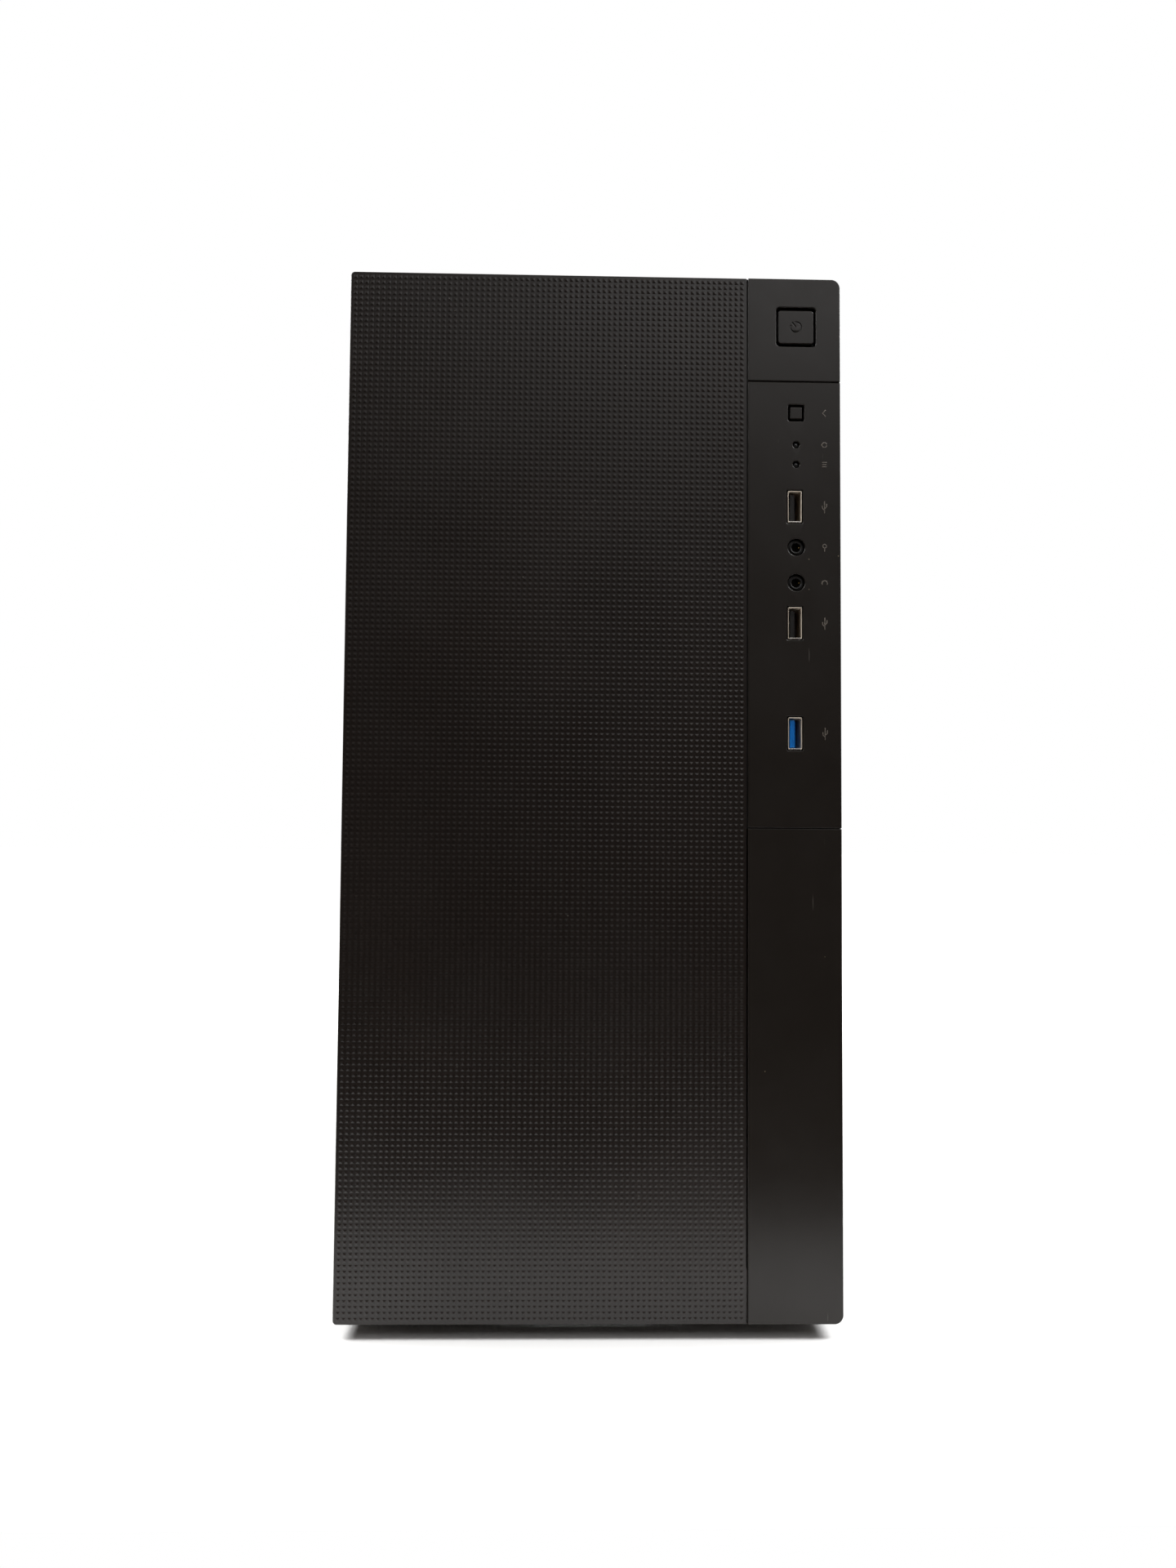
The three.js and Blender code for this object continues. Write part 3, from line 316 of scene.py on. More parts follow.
def bare_metal(name, colour, roughness, brushed=None, spangle=0.0, grime=0.25, metallic=1.0):
    """Metal with a brushed or spangled skin and dull patches."""
    shader = Shader(name, colour, roughness, metallic)
    if spangle:
        cells = shader.cells(spangle)
        split = shader.node("ShaderNodeSeparateColor")
        shader.link(cells.outputs["Color"], split.inputs[0])
        shader.paint(times(colour, 0.86), split.outputs[0])
    shader.mottle(times(colour, 0.45), 14 * MM, 5, 0.5, 0.8, grime)
    vector = shader.stretched(brushed) if brushed else None
    streaks = shader.noise(0.5 * MM, 3, vector=vector)
    shader.vary_roughness(streaks, roughness - 0.07, roughness + 0.1)
    shader.bump(streaks, 0.012 * MM)
    return shader.material


def circuit_board():
    """Green solder mask over copper: traces as ridges, and a fine weave below."""
    shader = Shader("circuit_board", (0.006, 0.045, 0.022), 0.32, Coat_Weight=0.3, Coat_Roughness=0.2)
    traces = shader.cells(5 * MM, "DISTANCE_TO_EDGE", randomness=0.35).outputs["Distance"]
    lines = shader.remap(traces, 0.05, 0.09, 1, 0)
    shader.paint((0.012, 0.085, 0.04), lines)
    pads = shader.remap(shader.cells(6.5 * MM).outputs["Distance"], 0.07, 0.1, 1, 0)
    shader.paint((0.42, 0.4, 0.34), pads)
    shader.bump(shader.math("ADD", lines, shader.noise(0.4 * MM, 2)), 0.03 * MM)
    shader.dust(0.05)
    return shader.material


def rubber():
    """Dull rubber with pale scuffed patches."""
    shader = Shader("foot_rubber", (0.012, 0.012, 0.012), 0.72)
    shader.vary_roughness(shader.noise(6 * MM, 4), 0.62, 0.84)
    shader.mottle((0.06, 0.058, 0.055), 9 * MM, 5, 0.52, 0.8, 0.5)
    shader.bump(shader.noise(0.4 * MM, 3), 0.03 * MM)
    return shader.material


def braided_sleeve():
    """Black sleeving: two sets of fine strands across each other."""
    shader = Shader("braided_sleeve", (0.011, 0.011, 0.012), 0.55, Sheen_Weight=0.3)
    along = shader.stretched((1, 1, 0.55))
    strands = shader.cells(1.1 * MM, "DISTANCE_TO_EDGE", along, 0.25).outputs["Distance"]
    shader.paint((0.035, 0.035, 0.038), shader.remap(strands, 0.1, 0.4))
    shader.bump(strands, 0.25 * MM)
    return shader.material


def lens(name, colour):
    """Smoky acrylic, unlit."""
    shader = Shader(name, colour, 0.12, Transmission_Weight=0.45, IOR=1.49)
    shader.vary_roughness(shader.noise(1.2 * MM, 3), 0.08, 0.2)
    shader.bump(shader.noise(0.6 * MM, 2), 0.004 * MM)
    return shader.material


def pale_floor():
    """A matt white sheet that glows softly away from the tower, so that it has no horizon."""
    shader = Shader("pale_floor", (0.86, 0.86, 0.855), 0.6, Emission_Color=(1, 1, 1, 1))
    shader.vary_roughness(shader.noise(0.2, 3), 0.55, 0.68)
    distance = shader.node("ShaderNodeVectorMath", operation="LENGTH")
    shader.link(shader.coordinates, distance.inputs[0])
    glow = shader.remap(distance.outputs["Value"], 0.5, 1.1, 0, 1.1)
    shader.link(glow, shader.principled.inputs["Emission Strength"])
    return shader.material


MATERIAL = {
    "textured": moulded_plastic(
        "textured_face", (0.0074, 0.0046, 0.0034), 0.32, 0.22 * MM, 0.008 * MM, smudge=0.025, dust=0.015
    ),
    "satin": satin_cover(),
    "bezel": moulded_plastic("bezel_plastic", (0.012, 0.0115, 0.011), 0.5, 0.3 * MM, 0.02 * MM),
    "black": moulded_plastic("black_plastic", (0.011, 0.011, 0.0115), 0.42, 0.35 * MM, 0.015 * MM),
    # The marks' pale colour is a painted glint: the light caught on raised marks of the black plastic, put
    # into their colour.
    "mark": moulded_plastic("mark_painted_glint", (0.15, 0.132, 0.112), 0.3, 0.2 * MM, 0.004 * MM, dust=0.0),
    "lens": lens("smoked_lens", (0.05, 0.055, 0.06)),
    "blue": moulded_plastic("blue_tongue", (0.004, 0.26, 0.95), 0.36, 0.3 * MM, 0.006 * MM, dust=0.0),
    "grey": moulded_plastic("grey_tongue", (0.009, 0.009, 0.0095), 0.45, 0.3 * MM, 0.006 * MM, dust=0.0),
    "green": moulded_plastic("green_socket", (0.02, 0.28, 0.07), 0.4, 0.3 * MM, 0.01 * MM),
    "pink": moulded_plastic("pink_socket", (0.6, 0.09, 0.16), 0.4, 0.3 * MM, 0.01 * MM),
    "cream": moulded_plastic("cream_plastic", (0.52, 0.47, 0.38), 0.45, 0.3 * MM, 0.01 * MM),
    "slate": moulded_plastic("slate_plastic", (0.05, 0.07, 0.1), 0.45, 0.3 * MM, 0.01 * MM),
    "plated": bare_metal("plated_shell", (0.88, 0.79, 0.66), 0.36, grime=0.2, metallic=0.6),
    "gold": bare_metal("gold_contact", (0.85, 0.6, 0.24), 0.22, grime=0.1),
    "zinc": bare_metal("zinc_steel", (0.56, 0.57, 0.58), 0.38, spangle=7 * MM),
    "nickel": bare_metal("nickel", (0.62, 0.6, 0.57), 0.25, (1, 1, 0.1)),
    "aluminium": bare_metal("aluminium", (0.78, 0.79, 0.8), 0.3, (1, 1, 0.06), grime=0.12),
    "steel": powder_coat("painted_steel", (0.012, 0.012, 0.0125), 0.42),
    "board": circuit_board(),
    "rubber": rubber(),
    "sleeve": braided_sleeve(),
}


# ------------------------------------------------------------------ outlines

# An outline is a list of (u, v) points, anticlockwise. These are the two axes that it is drawn in, by the
# axis that it is seen along.
DRAWN_IN = {"x": (1, 2), "y": (0, 2), "z": (0, 1)}


def arc(centre, radius, start, end, steps):
    """Points on an arc, from one angle to another in degrees."""
    angles = [math.radians(start + (end - start) * i / steps) for i in range(steps + 1)]
    return [(centre[0] + radius * math.cos(a), centre[1] + radius * math.sin(a)) for a in angles]


def ring(centre, radius, sides=40):
    """A full circle."""
    return arc(centre, radius, 0, 360, sides)[:-1]


def rounded(low_corner, high_corner, radii, steps=8):
    """A rectangle with rounded corners; radii go lower left, lower right, upper right, upper left."""
    radii = radii if isinstance(radii, (list, tuple)) else [radii] * 4
    (u0, v0), (u1, v1) = low_corner, high_corner
    corners = [(u0, v0, 1, 1), (u1, v0, -1, 1), (u1, v1, -1, -1), (u0, v1, 1, -1)]
    points = []
    for quarter, ((u, v, du, dv), radius) in enumerate(zip(corners, radii)):
        start = 180 + 90 * quarter
        points += arc((u + du * radius, v + dv * radius), radius, start, start + 90, steps)
    return points


def outline_of(node, axis, margins=(0, 0), radius=0.0, steps=8):
    """The rounded rectangle that fills a node's box, seen along an axis, less a margin at its sides."""
    lowest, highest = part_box(node)
    u, v = DRAWN_IN[axis]
    low_corner = (lowest[u] + margins[0], lowest[v] + margins[1])
    return rounded(low_corner, (highest[u] - margins[0], highest[v] - margins[1]), radius, steps)


def around(centre, width, height, radius, steps=6):
    """A rounded rectangle about its centre."""
    u, v = centre
    return rounded((u - width / 2, v - height / 2), (u + width / 2, v + height / 2), radius, steps)


def stroke(points, width, cap_steps=6):
    """The outline of a pen stroke with round ends along a line of points."""
    left, right = [], []
    last = len(points) - 1
    for i, point in enumerate(points):
        ahead = Vector(points[min(i + 1, last)]) - Vector(points[max(i - 1, 0)])
        side = Vector((-ahead.y, ahead.x)).normalized() * width / 2
        left.append(tuple(Vector(point) + side))
        right.append(tuple(Vector(point) - side))

    def cap(index, side_point):
        centre = Vector(points[index])
        start = math.degrees(math.atan2(side_point[1] - centre.y, side_point[0] - centre.x))
        return arc(centre, width / 2, start, start + 180, cap_steps)[1:-1]

    return right + cap(last, right[-1]) + left[::-1] + cap(0, left[0])


def moved(outline, du, dv, degrees=0.0):
    """The outline turned about the origin, then shifted."""
    c, s = math.cos(math.radians(degrees)), math.sin(math.radians(degrees))
    return [(du + c * u - s * v, dv + s * u + c * v) for u, v in outline]


def inset(outline, distance):
    """The outline drawn in by a distance, or let out where it is negative."""
    if not distance:
        return outline
    count = len(outline)
    result = []
    for i in range(count):
        before = (Vector(outline[i]) - Vector(outline[i - 1])).normalized()
        after = (Vector(outline[(i + 1) % count]) - Vector(outline[i])).normalized()
        normal = Vector((-before.y - after.y, before.x + after.x))
        length = normal.length
        if length < 1e-9:
            result.append(outline[i])
            continue
        normal /= length
        reach = distance / max(0.3, length / 2)
        result.append((outline[i][0] + normal.x * reach, outline[i][1] + normal.y * reach))
    return result


def edge_profile(radius, steps):
    """(drawn in, depth) from a face round its edge to the wall."""
    if radius <= 0:
        return [(0.0, 0.0)]
    angles = [math.pi / 2 * i / steps for i in range(steps + 1)]
    return [(radius * (1 - math.sin(a)), radius * (1 - math.cos(a))) for a in angles]


# ------------------------------------------------------------------ building meshes

# A point of an outline at a depth w, by the axis that the depth is on.
PLACE = {
    "x": lambda u, v, w: (w, u, v),
    "y": lambda u, v, w: (u, w, v),
    "z": lambda u, v, w: (u, v, w),
}


class Piece:
    """A mesh under construction, in several materials."""

    def __init__(self, *materials):
        self.bm = bmesh.new()
        self.materials = list(materials)

    def index(self, material):
        """The material's number in this mesh; it is added if it is new."""
        if material not in self.materials:
            self.materials.append(material)
        return self.materials.index(material)

    def face(self, corners, index, smooth=True):
        """A face between vertices, unless it is there already or has too few corners."""
        try:
            made = self.bm.faces.new(corners)
        except ValueError:
            return
        made.material_index = index
        made.smooth = smooth

    def loop(self, axis, points, depth):
        """New vertices along an outline, at one depth."""
        return [self.bm.verts.new(PLACE[axis](u, v, depth)) for u, v in points]

    def skin(self, loops, index):
        """Joins each loop of vertices to the next. A loop may be a single vertex."""
        for first, second in zip(loops, loops[1:]):
            count = max(len(first), len(second))
            for i in range(count):
                k = (i + 1) % count
                corners = [first[i % len(first)], first[k % len(first)]]
                corners += [second[k % len(second)], second[i % len(second)]]
                self.face(list(dict.fromkeys(corners)), index)

    def plate(self, material, outer, axis, start, end, holes=(), edges=(0, 0), hole_edges=None, steps=3):
        """A slab between two depths on an axis, with rounded edges and holes right through.
        edges holds the rounding radii at start and end."""
        index = self.index(material)
        hole_edges = edges if hole_edges is None else hole_edges
        direction = 1 if end > start else -1
        caps = ([], [])
        for is_hole, outline in [(False, outer)] + [(True, hole) for hole in holes]:
            radii = hole_edges if is_hole else edges
            sign = -1 if is_hole else 1
            near = [(sign * drawn, start + direction * deep) for drawn, deep in edge_profile(radii[0], steps)]
            far = [(sign * drawn, end - direction * deep) for drawn, deep in edge_profile(radii[1], steps)]
            loops = [self.loop(axis, inset(outline, drawn), depth) for drawn, depth in near + far[::-1]]
            self.skin(loops, index)
            caps[0].append(loops[0])
            caps[1].append(loops[-1])
        for loops in caps:
            self.fill(loops, index)
        return self

    def fill(self, loops, index):
        """Closes a flat face between an outer loop and the holes in it."""
        flat = [v for loop in loops for v in loop]
        for triangle in tessellate_polygon([[v.co for v in loop] for loop in loops]):
            self.face([flat[i] for i in triangle], index)

    def box(self, material, lowest, highest, edge=0.0, steps=2):
        """A box with rounded edges all round its upper and lower sides on its thinnest axis."""
        (x0, y0, z0), (x1, y1, z1) = lowest, highest
        spans = {"x": x1 - x0, "y": y1 - y0, "z": z1 - z0}
        axis = min(spans, key=spans.get)
        sides = {"x": ((y0, z0), (y1, z1)), "y": ((x0, z0), (x1, z1)), "z": ((x0, y0), (x1, y1))}
        ends = {"x": (x0, x1), "y": (y0, y1), "z": (z0, z1)}
        outline = rounded(*sides[axis], edge, 2) if edge else self.square(*sides[axis])
        return self.plate(material, outline, axis, *ends[axis], edges=(edge, edge), steps=steps)

    @staticmethod
    def square(low_corner, high_corner):
        """A rectangle with sharp corners."""
        (u0, v0), (u1, v1) = low_corner, high_corner
        return [(u0, v0), (u1, v0), (u1, v1), (u0, v1)]

    def lathe(self, material, profile, axis, centre, sides=48):
        """A round body: profile is a list of (radius, depth), on the axis at both ends."""
        index = self.index(material)
        loops = []
        for radius, depth in profile:
            points = [centre] if radius == 0 else ring(centre, radius, sides)
            loops.append(self.loop(axis, points, depth))
        self.skin(loops, index)
        return self

    def tube(self, material, points, radius, sides=12):
        """A round bar along a line of points."""
        index = self.index(material)
        loops = []
        side = None
        last = len(points) - 1
        for i, point in enumerate(points):
            ahead = (Vector(points[min(i + 1, last)]) - Vector(points[max(i - 1, 0)])).normalized()
            side = ahead.orthogonal() if side is None else side - ahead * side.dot(ahead)
            side.normalize()
            up = ahead.cross(side)
            around_point = [Vector(point) + side * u + up * v for u, v in ring((0, 0), radius, sides)]
            loops.append([self.bm.verts.new(place) for place in around_point])
        self.skin(loops, index)
        for loop in (loops[0], loops[-1]):
            self.face(loop, index, smooth=False)
        return self

    def turn(self, matrix):
        """Moves all that is built so far."""
        bmesh.ops.transform(self.bm, matrix=matrix, verts=self.bm.verts)
        return self

    def make(self, name, body, slot, replaces=(), smooth_angle=40.0):
        """The finished object: it rides on a body. Its slot is not used."""
        bmesh.ops.recalc_face_normals(self.bm, faces=self.bm.faces)
        mesh = bpy.data.meshes.new(name)
        self.bm.to_mesh(mesh)
        self.bm.free()
        mesh.set_sharp_from_angle(angle=math.radians(smooth_angle))
        for material in self.materials:
            mesh.materials.append(MATERIAL[material])
        piece = bpy.data.objects.new(name, mesh)
        scene.collection.objects.link(piece)
        weighted = piece.modifiers.new("even_shading", "WEIGHTED_NORMAL")
        weighted.keep_sharp = True
        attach(piece, body)
        if replaces:
            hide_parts(*replaces)
        return piece


# ------------------------------------------------------------------ the textured panel

PYRAMID = {"pitch": 2.25 * MM, "share": 0.72, "height": 0.22 * MM}
PANEL_RIM = 0.9 * MM


def textured_panel():
    """A moulded panel covered in small pyramids, with a plain rim and a rounded edge."""
    lowest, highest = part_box("textured_panel")
    piece = Piece("textured")
    base = lowest.y + PYRAMID["height"]
    seam_x = low("port_cover").x - 0.5 * MM
    notch = {"x": highest.x, "z": lowest.z + 22 * MM, "slope": 0.8 * MM}
    outline = panel_outline(lowest, seam_x, highest.z, notch)

    profile = edge_profile(0.5 * MM, 3) + [(0, highest.y - base)]
    loops = [piece.loop("y", inset(outline, drawn), base + deep) for drawn, deep in profile]
    piece.skin(loops, 0)
    piece.fill([loops[-1]], 0)

    field = ((lowest.x + PANEL_RIM, lowest.z + PANEL_RIM), (seam_x - PANEL_RIM, highest.z - PANEL_RIM))
    border = pyramid_field(piece, field, base, lowest.y)
    piece.fill([loops[0], border], 0)
    return piece.make("textured_panel_skin", "bezel", "textured_plastic", ["textured_panel"], 12)


def panel_outline(lowest, seam_x, top, notch):
    """The panel's edge: it steps out towards the seam near the bottom."""
    corner = 1.6 * MM
    small = 0.3 * MM
    points = arc((lowest.x + corner, lowest.z + corner), corner, 180, 270, 8)
    points += arc((notch["x"] - small, lowest.z + small), small, 270, 360, 4)
    points += [(notch["x"], notch["z"] - notch["slope"]), (seam_x, notch["z"])]
    points += arc((seam_x - small, top - small), small, 0, 90, 4)
    points += arc((lowest.x + corner, top - corner), corner, 90, 180, 8)
    return points


def pyramid_field(piece, field, base, tip):
    """Rows and columns of pyramids that fill a rectangle; returns its border."""
    (x0, z0), (x1, z1) = field
    columns = round((x1 - x0) / PYRAMID["pitch"])
    rows = round((z1 - z0) / PYRAMID["pitch"])
    pitch_x, pitch_z = (x1 - x0) / columns, (z1 - z0) / rows
    gap = (1 - PYRAMID["share"]) / 2
    lines_x = [x0 + pitch_x * (i + share) for i in range(columns) for share in (gap, 1 - gap)]
    lines_z = [z0 + pitch_z * (k + share) for k in range(rows) for share in (gap, 1 - gap)]
    grid = [[piece.bm.verts.new((x, base, z)) for x in lines_x] for z in lines_z]
    for k in range(len(lines_z) - 1):
        for i in range(len(lines_x) - 1):
            corners = [grid[k][i], grid[k][i + 1], grid[k + 1][i + 1], grid[k + 1][i]]
            if k % 2 or i % 2:
                piece.face(corners, 0, smooth=False)
                continue
            centre = ((lines_x[i] + lines_x[i + 1]) / 2, tip, (lines_z[k] + lines_z[k + 1]) / 2)
            apex = piece.bm.verts.new(centre)
            for side in range(4):
                piece.face([corners[side], corners[(side + 1) % 4], apex], 0, smooth=False)
    bottom = grid[0]
    right = [row[-1] for row in grid[1:]]
    top = grid[-1][-2::-1]
    left = [row[0] for row in grid[-2:0:-1]]
    return bottom + right + top + left


# ------------------------------------------------------------------ covers, buttons and ports

USB_NODES = ("usb_upper", "usb_lower", "usb_fast")
JACK_NODES = ("microphone_jack", "headphone_jack")
LED_NODES = ("power_led", "drive_led")


def face_centre(node):
    """The middle of a node as the front shows it, in (x, z)."""
    centre = middle(node)
    return (centre.x, centre.z)


def cover_holes():
    """Holes by cover, drawn in (x, z)."""
    power = around(face_centre("power_button"), 16.3 * MM, 16.4 * MM, 1.5 * MM)
    ports = [around(face_centre("reset_button"), 6.6 * MM, 6.9 * MM, 0.7 * MM)]
    ports += [ring(face_centre(node), 1.4 * MM) for node in LED_NODES]
    ports += [ring(face_centre(node), 3.5 * MM, 56) for node in JACK_NODES]
    ports += [around(face_centre(node + "_shell"), 6.5 * MM, 13.9 * MM, 0.6 * MM) for node in USB_NODES]
    return {"power_cover": [power], "port_cover": ports, "lower_cover": []}


def covers():
    """The three smooth covers of the right column, flush with one another."""
    large, small = 3.5 * MM, 0.2 * MM
    radii = {
        "power_cover": (small, small, large, small),
        "port_cover": (small, small, small, small),
        "lower_cover": (small, large, small, small),
    }
    holes = cover_holes()
    for name, corners in radii.items():
        lowest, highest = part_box(name)
        piece = Piece("satin")
        outline = outline_of(name, "y", radius=corners, steps=10)
        edges, hole_edges = (0.3 * MM, 0), (0.35 * MM, 0)
        piece.plate("satin", outline, "y", lowest.y, highest.y, holes[name], edges, hole_edges)
        if name == "port_cover":
            add_marks(piece, lowest)
        piece.make(name + "_shell", "bezel", "satin_plastic", [name])


def seam_backing():
    """The lips behind the seams, so that no light comes through them."""
    power_low, power_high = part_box("power_cover")
    ports_low, ports_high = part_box("port_cover")
    lower_high = high("lower_cover")
    front, back = power_low.y + 0.9 * MM, power_high.y - 0.2 * MM
    clear = 0.05 * MM
    seam = low("port_cover").x - 0.5 * MM
    piece = Piece("bezel")
    edge = 0.12 * MM
    piece.box("bezel", (seam + clear, front, lower_high.z), (ports_low.x - clear, back, power_high.z - edge))
    for below, above in ((lower_high.z, ports_low.z), (ports_high.z, power_low.z)):
        piece.box("bezel", (ports_low.x, front, below + clear), (ports_high.x - edge, back, above - clear))
    piece.make("seam_lips", "bezel", "bezel_plastic")


def add_marks(piece, cover_low):
    """Small raised marks beside the ports: plain signs for what each is for. Their pale colour is a painted
    glint, standing in for light caught on raised marks of the same black plastic.
    """
    x = high("port_cover").x - 6.6 * MM
    face = cover_low.y
    width = 0.36 * MM
    raised = 0.09 * MM

    def line(z, points):
        outline = stroke([(x + u * MM, z + v * MM) for u, v in points], width)
        piece.plate("mark", outline, "y", face - raised, face + raised, edges=(raised, 0), steps=2)

    line(middle("reset_button").z, [(0.5, 1.3), (-0.7, 0), (0.5, -1.3)])
    line(middle("power_led").z, arc((0, 0), 1.0, 20, 340, 14))
    for step in (-0.9, 0, 0.9):
        line(middle("drive_led").z + step * MM, [(-0.8, 0), (0.8, 0)])
    for name in USB_NODES:
        z = middle(name + "_shell").z
        line(z, [(0, -2.4), (0, 2.2)])
        line(z, [(0, -0.8), (0.9, 0.2), (0.9, 1.2)])
        line(z, [(0, -1.4), (-0.9, -0.5), (-0.9, 0.4)])
    jack = middle("microphone_jack").z
    line(jack, arc((0, 0.5), 0.75, 0, 360, 14)[:-1])
    line(jack, [(0, -0.6), (0, -1.6)])
    line(middle("headphone_jack").z, arc((0, -0.3), 1.1, -20, 200, 12))


def power_sign(centre, size, degrees):
    """A broken circle and the bar in its gap, drawn in (x, z)."""
    width = 0.6 * MM
    circle = [(u, v) for u, v in arc((0, 0), size / 2, 125, 415, 26)]
    bar = [(0, size * 0.08), (0, size * 0.56)]
    return [moved(stroke(points, width), centre[0], centre[1], degrees) for points in (circle, bar)]


def button(name, cap, radius, sign=None):
    """A cap with rounded edges and a flange behind it; its sign is sunk into the face."""
    lowest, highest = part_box(name + "_button")
    centre = face_centre(name + "_button")
    piece = Piece("satin")
    outline = around(centre, *cap, radius)
    sunk = edge = 0.35 * MM
    flange_front = highest.y - 1.3 * MM
    if sign:
        holes = power_sign(centre, sign, 38)
        piece.plate("satin", outline, "y", lowest.y, lowest.y + sunk, holes, (edge, 0), (0.08 * MM, 0))
        piece.plate("satin", outline, "y", lowest.y + sunk, flange_front)
    else:
        piece.plate("satin", outline, "y", lowest.y, flange_front, edges=(edge, 0))
    piece.box("satin", (lowest.x, flange_front, lowest.z), highest)
    piece.make(name + "_button_cap", name + "_button", "satin_plastic", [name + "_button"])


def indicator(name):
    """A light guide with a domed end."""
    lowest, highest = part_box(name)
    rod, foot, crown = 1.15 * MM, 1.8 * MM, 0.55 * MM
    shoulder = highest.y - 5 * MM
    angles = [math.radians(angle) for angle in range(0, 91, 15)]
    profile = [(rod * math.sin(a), lowest.y + crown * (1 - math.cos(a))) for a in angles]
    profile += [(rod, shoulder), (foot, shoulder), (foot, highest.y), (0, highest.y)]
    piece = Piece("lens").lathe("lens", profile, "y", face_centre(name), 32)
    piece.make(name + "_lens", "case", "clear_plastic", [name])


def usb_socket(name, tongue):
    """A folded metal shell with a rolled mouth, and the tongue with its contacts."""
    lowest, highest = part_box(name + "_shell")
    centre = face_centre(name + "_shell")
    width, height = highest.x - lowest.x, highest.z - lowest.z
    wall = 0.35 * MM
    outer = around(centre, width, height, 0.55 * MM)
    inner = around(centre, width - 2 * wall, height - 2 * wall, 0.3 * MM)
    shell = Piece("plated")
    shell.plate("plated", outer, "y", lowest.y, highest.y - wall, [inner], (0.16 * MM, 0), (0.16 * MM, 0))
    shell.plate("plated", outer, "y", highest.y - wall, highest.y)
    lip = around((centre[0], lowest.z + 0.3 * MM), width - 1 * MM, 0.6 * MM, 0.25 * MM)
    shell.plate("nickel", lip, "y", lowest.y - 0.15 * MM, lowest.y + 0.6 * MM, edges=(0.12 * MM, 0))
    shell.make(name + "_metal_shell", "case", "plated_metal", [name + "_shell"])

    tongue_low, tongue_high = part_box(name + "_tongue")
    left = centre[0] - width / 2 + 1.15 * MM
    right = left + 1.9 * MM
    blade_half = 5.55 * MM
    blade_back, block_front = tongue_high.y - 1 * MM, tongue_high.y - 3 * MM
    inside = Piece(tongue)
    blade_low = (left, tongue_low.y, centre[1] - blade_half)
    inside.box(tongue, blade_low, (right, blade_back, centre[1] + blade_half), 0.25 * MM)
    inside.box(tongue, (tongue_low.x, block_front, tongue_low.z), tongue_high)
    for i in range(4):
        z = centre[1] + (i - 1.5) * 2.5 * MM
        contact_low = (right - 0.1 * MM, tongue_low.y + 1.2 * MM, z - 0.5 * MM)
        inside.box("gold", contact_low, (right + 0.12 * MM, block_front, z + 0.5 * MM), 0.04 * MM)
    slot = "blue_plastic" if tongue == "blue" else "grey_plastic"
    inside.make(name + "_tongue_blade", "case", slot, [name + "_tongue"])


def audio_jack(name):
    """A collar that fills the cover's hole, its raised ring, and the sprung contact inside."""
    front, back = low(name).y, high(name).y
    x, z = face_centre(name)
    bore = [(0, 9), (1.8, 9), (1.8, 0.35)]
    lip = [(1.95, 0.08), (2.1, 0), (2.4, 0), (2.55, 0.15), (2.55, 0.8)]
    collar = [(3.0, 0.85), (3.1, 1.0)]
    profile = [(radius * MM, front + depth * MM) for radius, depth in bore + lip + collar]
    profile += [(3.1 * MM, back - 7 * MM), (0, back - 7 * MM)]
    piece = Piece("black").lathe("black", profile, "y", (x, z), 56)
    half = 4 * MM
    piece.box("black", (x - half, back - 7.5 * MM, z - half), (x + half, back, z + half), 0.4 * MM)
    spring = [(x + 1.5 * MM, front + (1.5 + 1.2 * i) * MM, z + 0.3 * MM) for i in range(4)]
    piece.tube("gold", spring, 0.28 * MM, 8)
    piece.make(name + "_socket", "case", "black_plastic", [name])


# ------------------------------------------------------------------ fans, feet and screws


def curved_blade(piece, material, hub, tip, depth, chord, angle, sides=14):
    """One fan blade: swept forward, pitched steeply at the hub and less at the tip."""
    index = piece.index(material)
    stations = 9
    thickness = 1.1 * MM
    hub_pitch, tip_pitch = 52, 28
    forward_sweep, camber_share = 0.34, 0.11
    rows = []
    for s in range(stations + 1):
        share = s / stations
        radius = hub + (tip - hub) * share
        pitch = math.radians(hub_pitch - (hub_pitch - tip_pitch) * share)
        sweep = angle + forward_sweep * share * share
        width = chord * (0.86 + 0.34 * share)
        row = []
        for i in range(sides + 1):
            t = i / sides
            along = (t - 0.5) * width
            camber = camber_share * width * (1 - (2 * t - 1) ** 2)
            thick = thickness * (0.25 + 0.75 * math.sin(math.pi * t) ** 0.7) / 2
            around_hub = along * math.cos(pitch) - camber * math.sin(pitch)
            rise = along * math.sin(pitch) + camber * math.cos(pitch)
            turn = sweep + around_hub / radius
            for side in (-1, 1):
                z = depth + rise + side * thick
                row.append(piece.bm.verts.new((radius * math.cos(turn), radius * math.sin(turn), z)))
        rows.append(row)
    count = sides + 1
    order = [2 * i for i in range(count)] + [2 * i + 1 for i in reversed(range(count))]
    for first, second in zip(rows, rows[1:]):
        for a, b in zip(order, order[1:] + order[:1]):
            piece.face([first[a], first[b], second[b], second[a]], index)
    for row in (rows[0], rows[-1]):
        for i in range(sides):
            piece.face([row[2 * i], row[2 * i + 2], row[2 * i + 3], row[2 * i + 1]], index)


def seat(node, axis, depth):
    """Places what is drawn upwards from z = 0 in a node's middle, with its upper end along the axis."""
    turn = Vector((0, 0, 1)).rotation_difference(Vector(axis)).to_matrix().to_4x4()
    return Matrix.Translation(middle(node) - Vector(axis) * depth / 2) @ turn


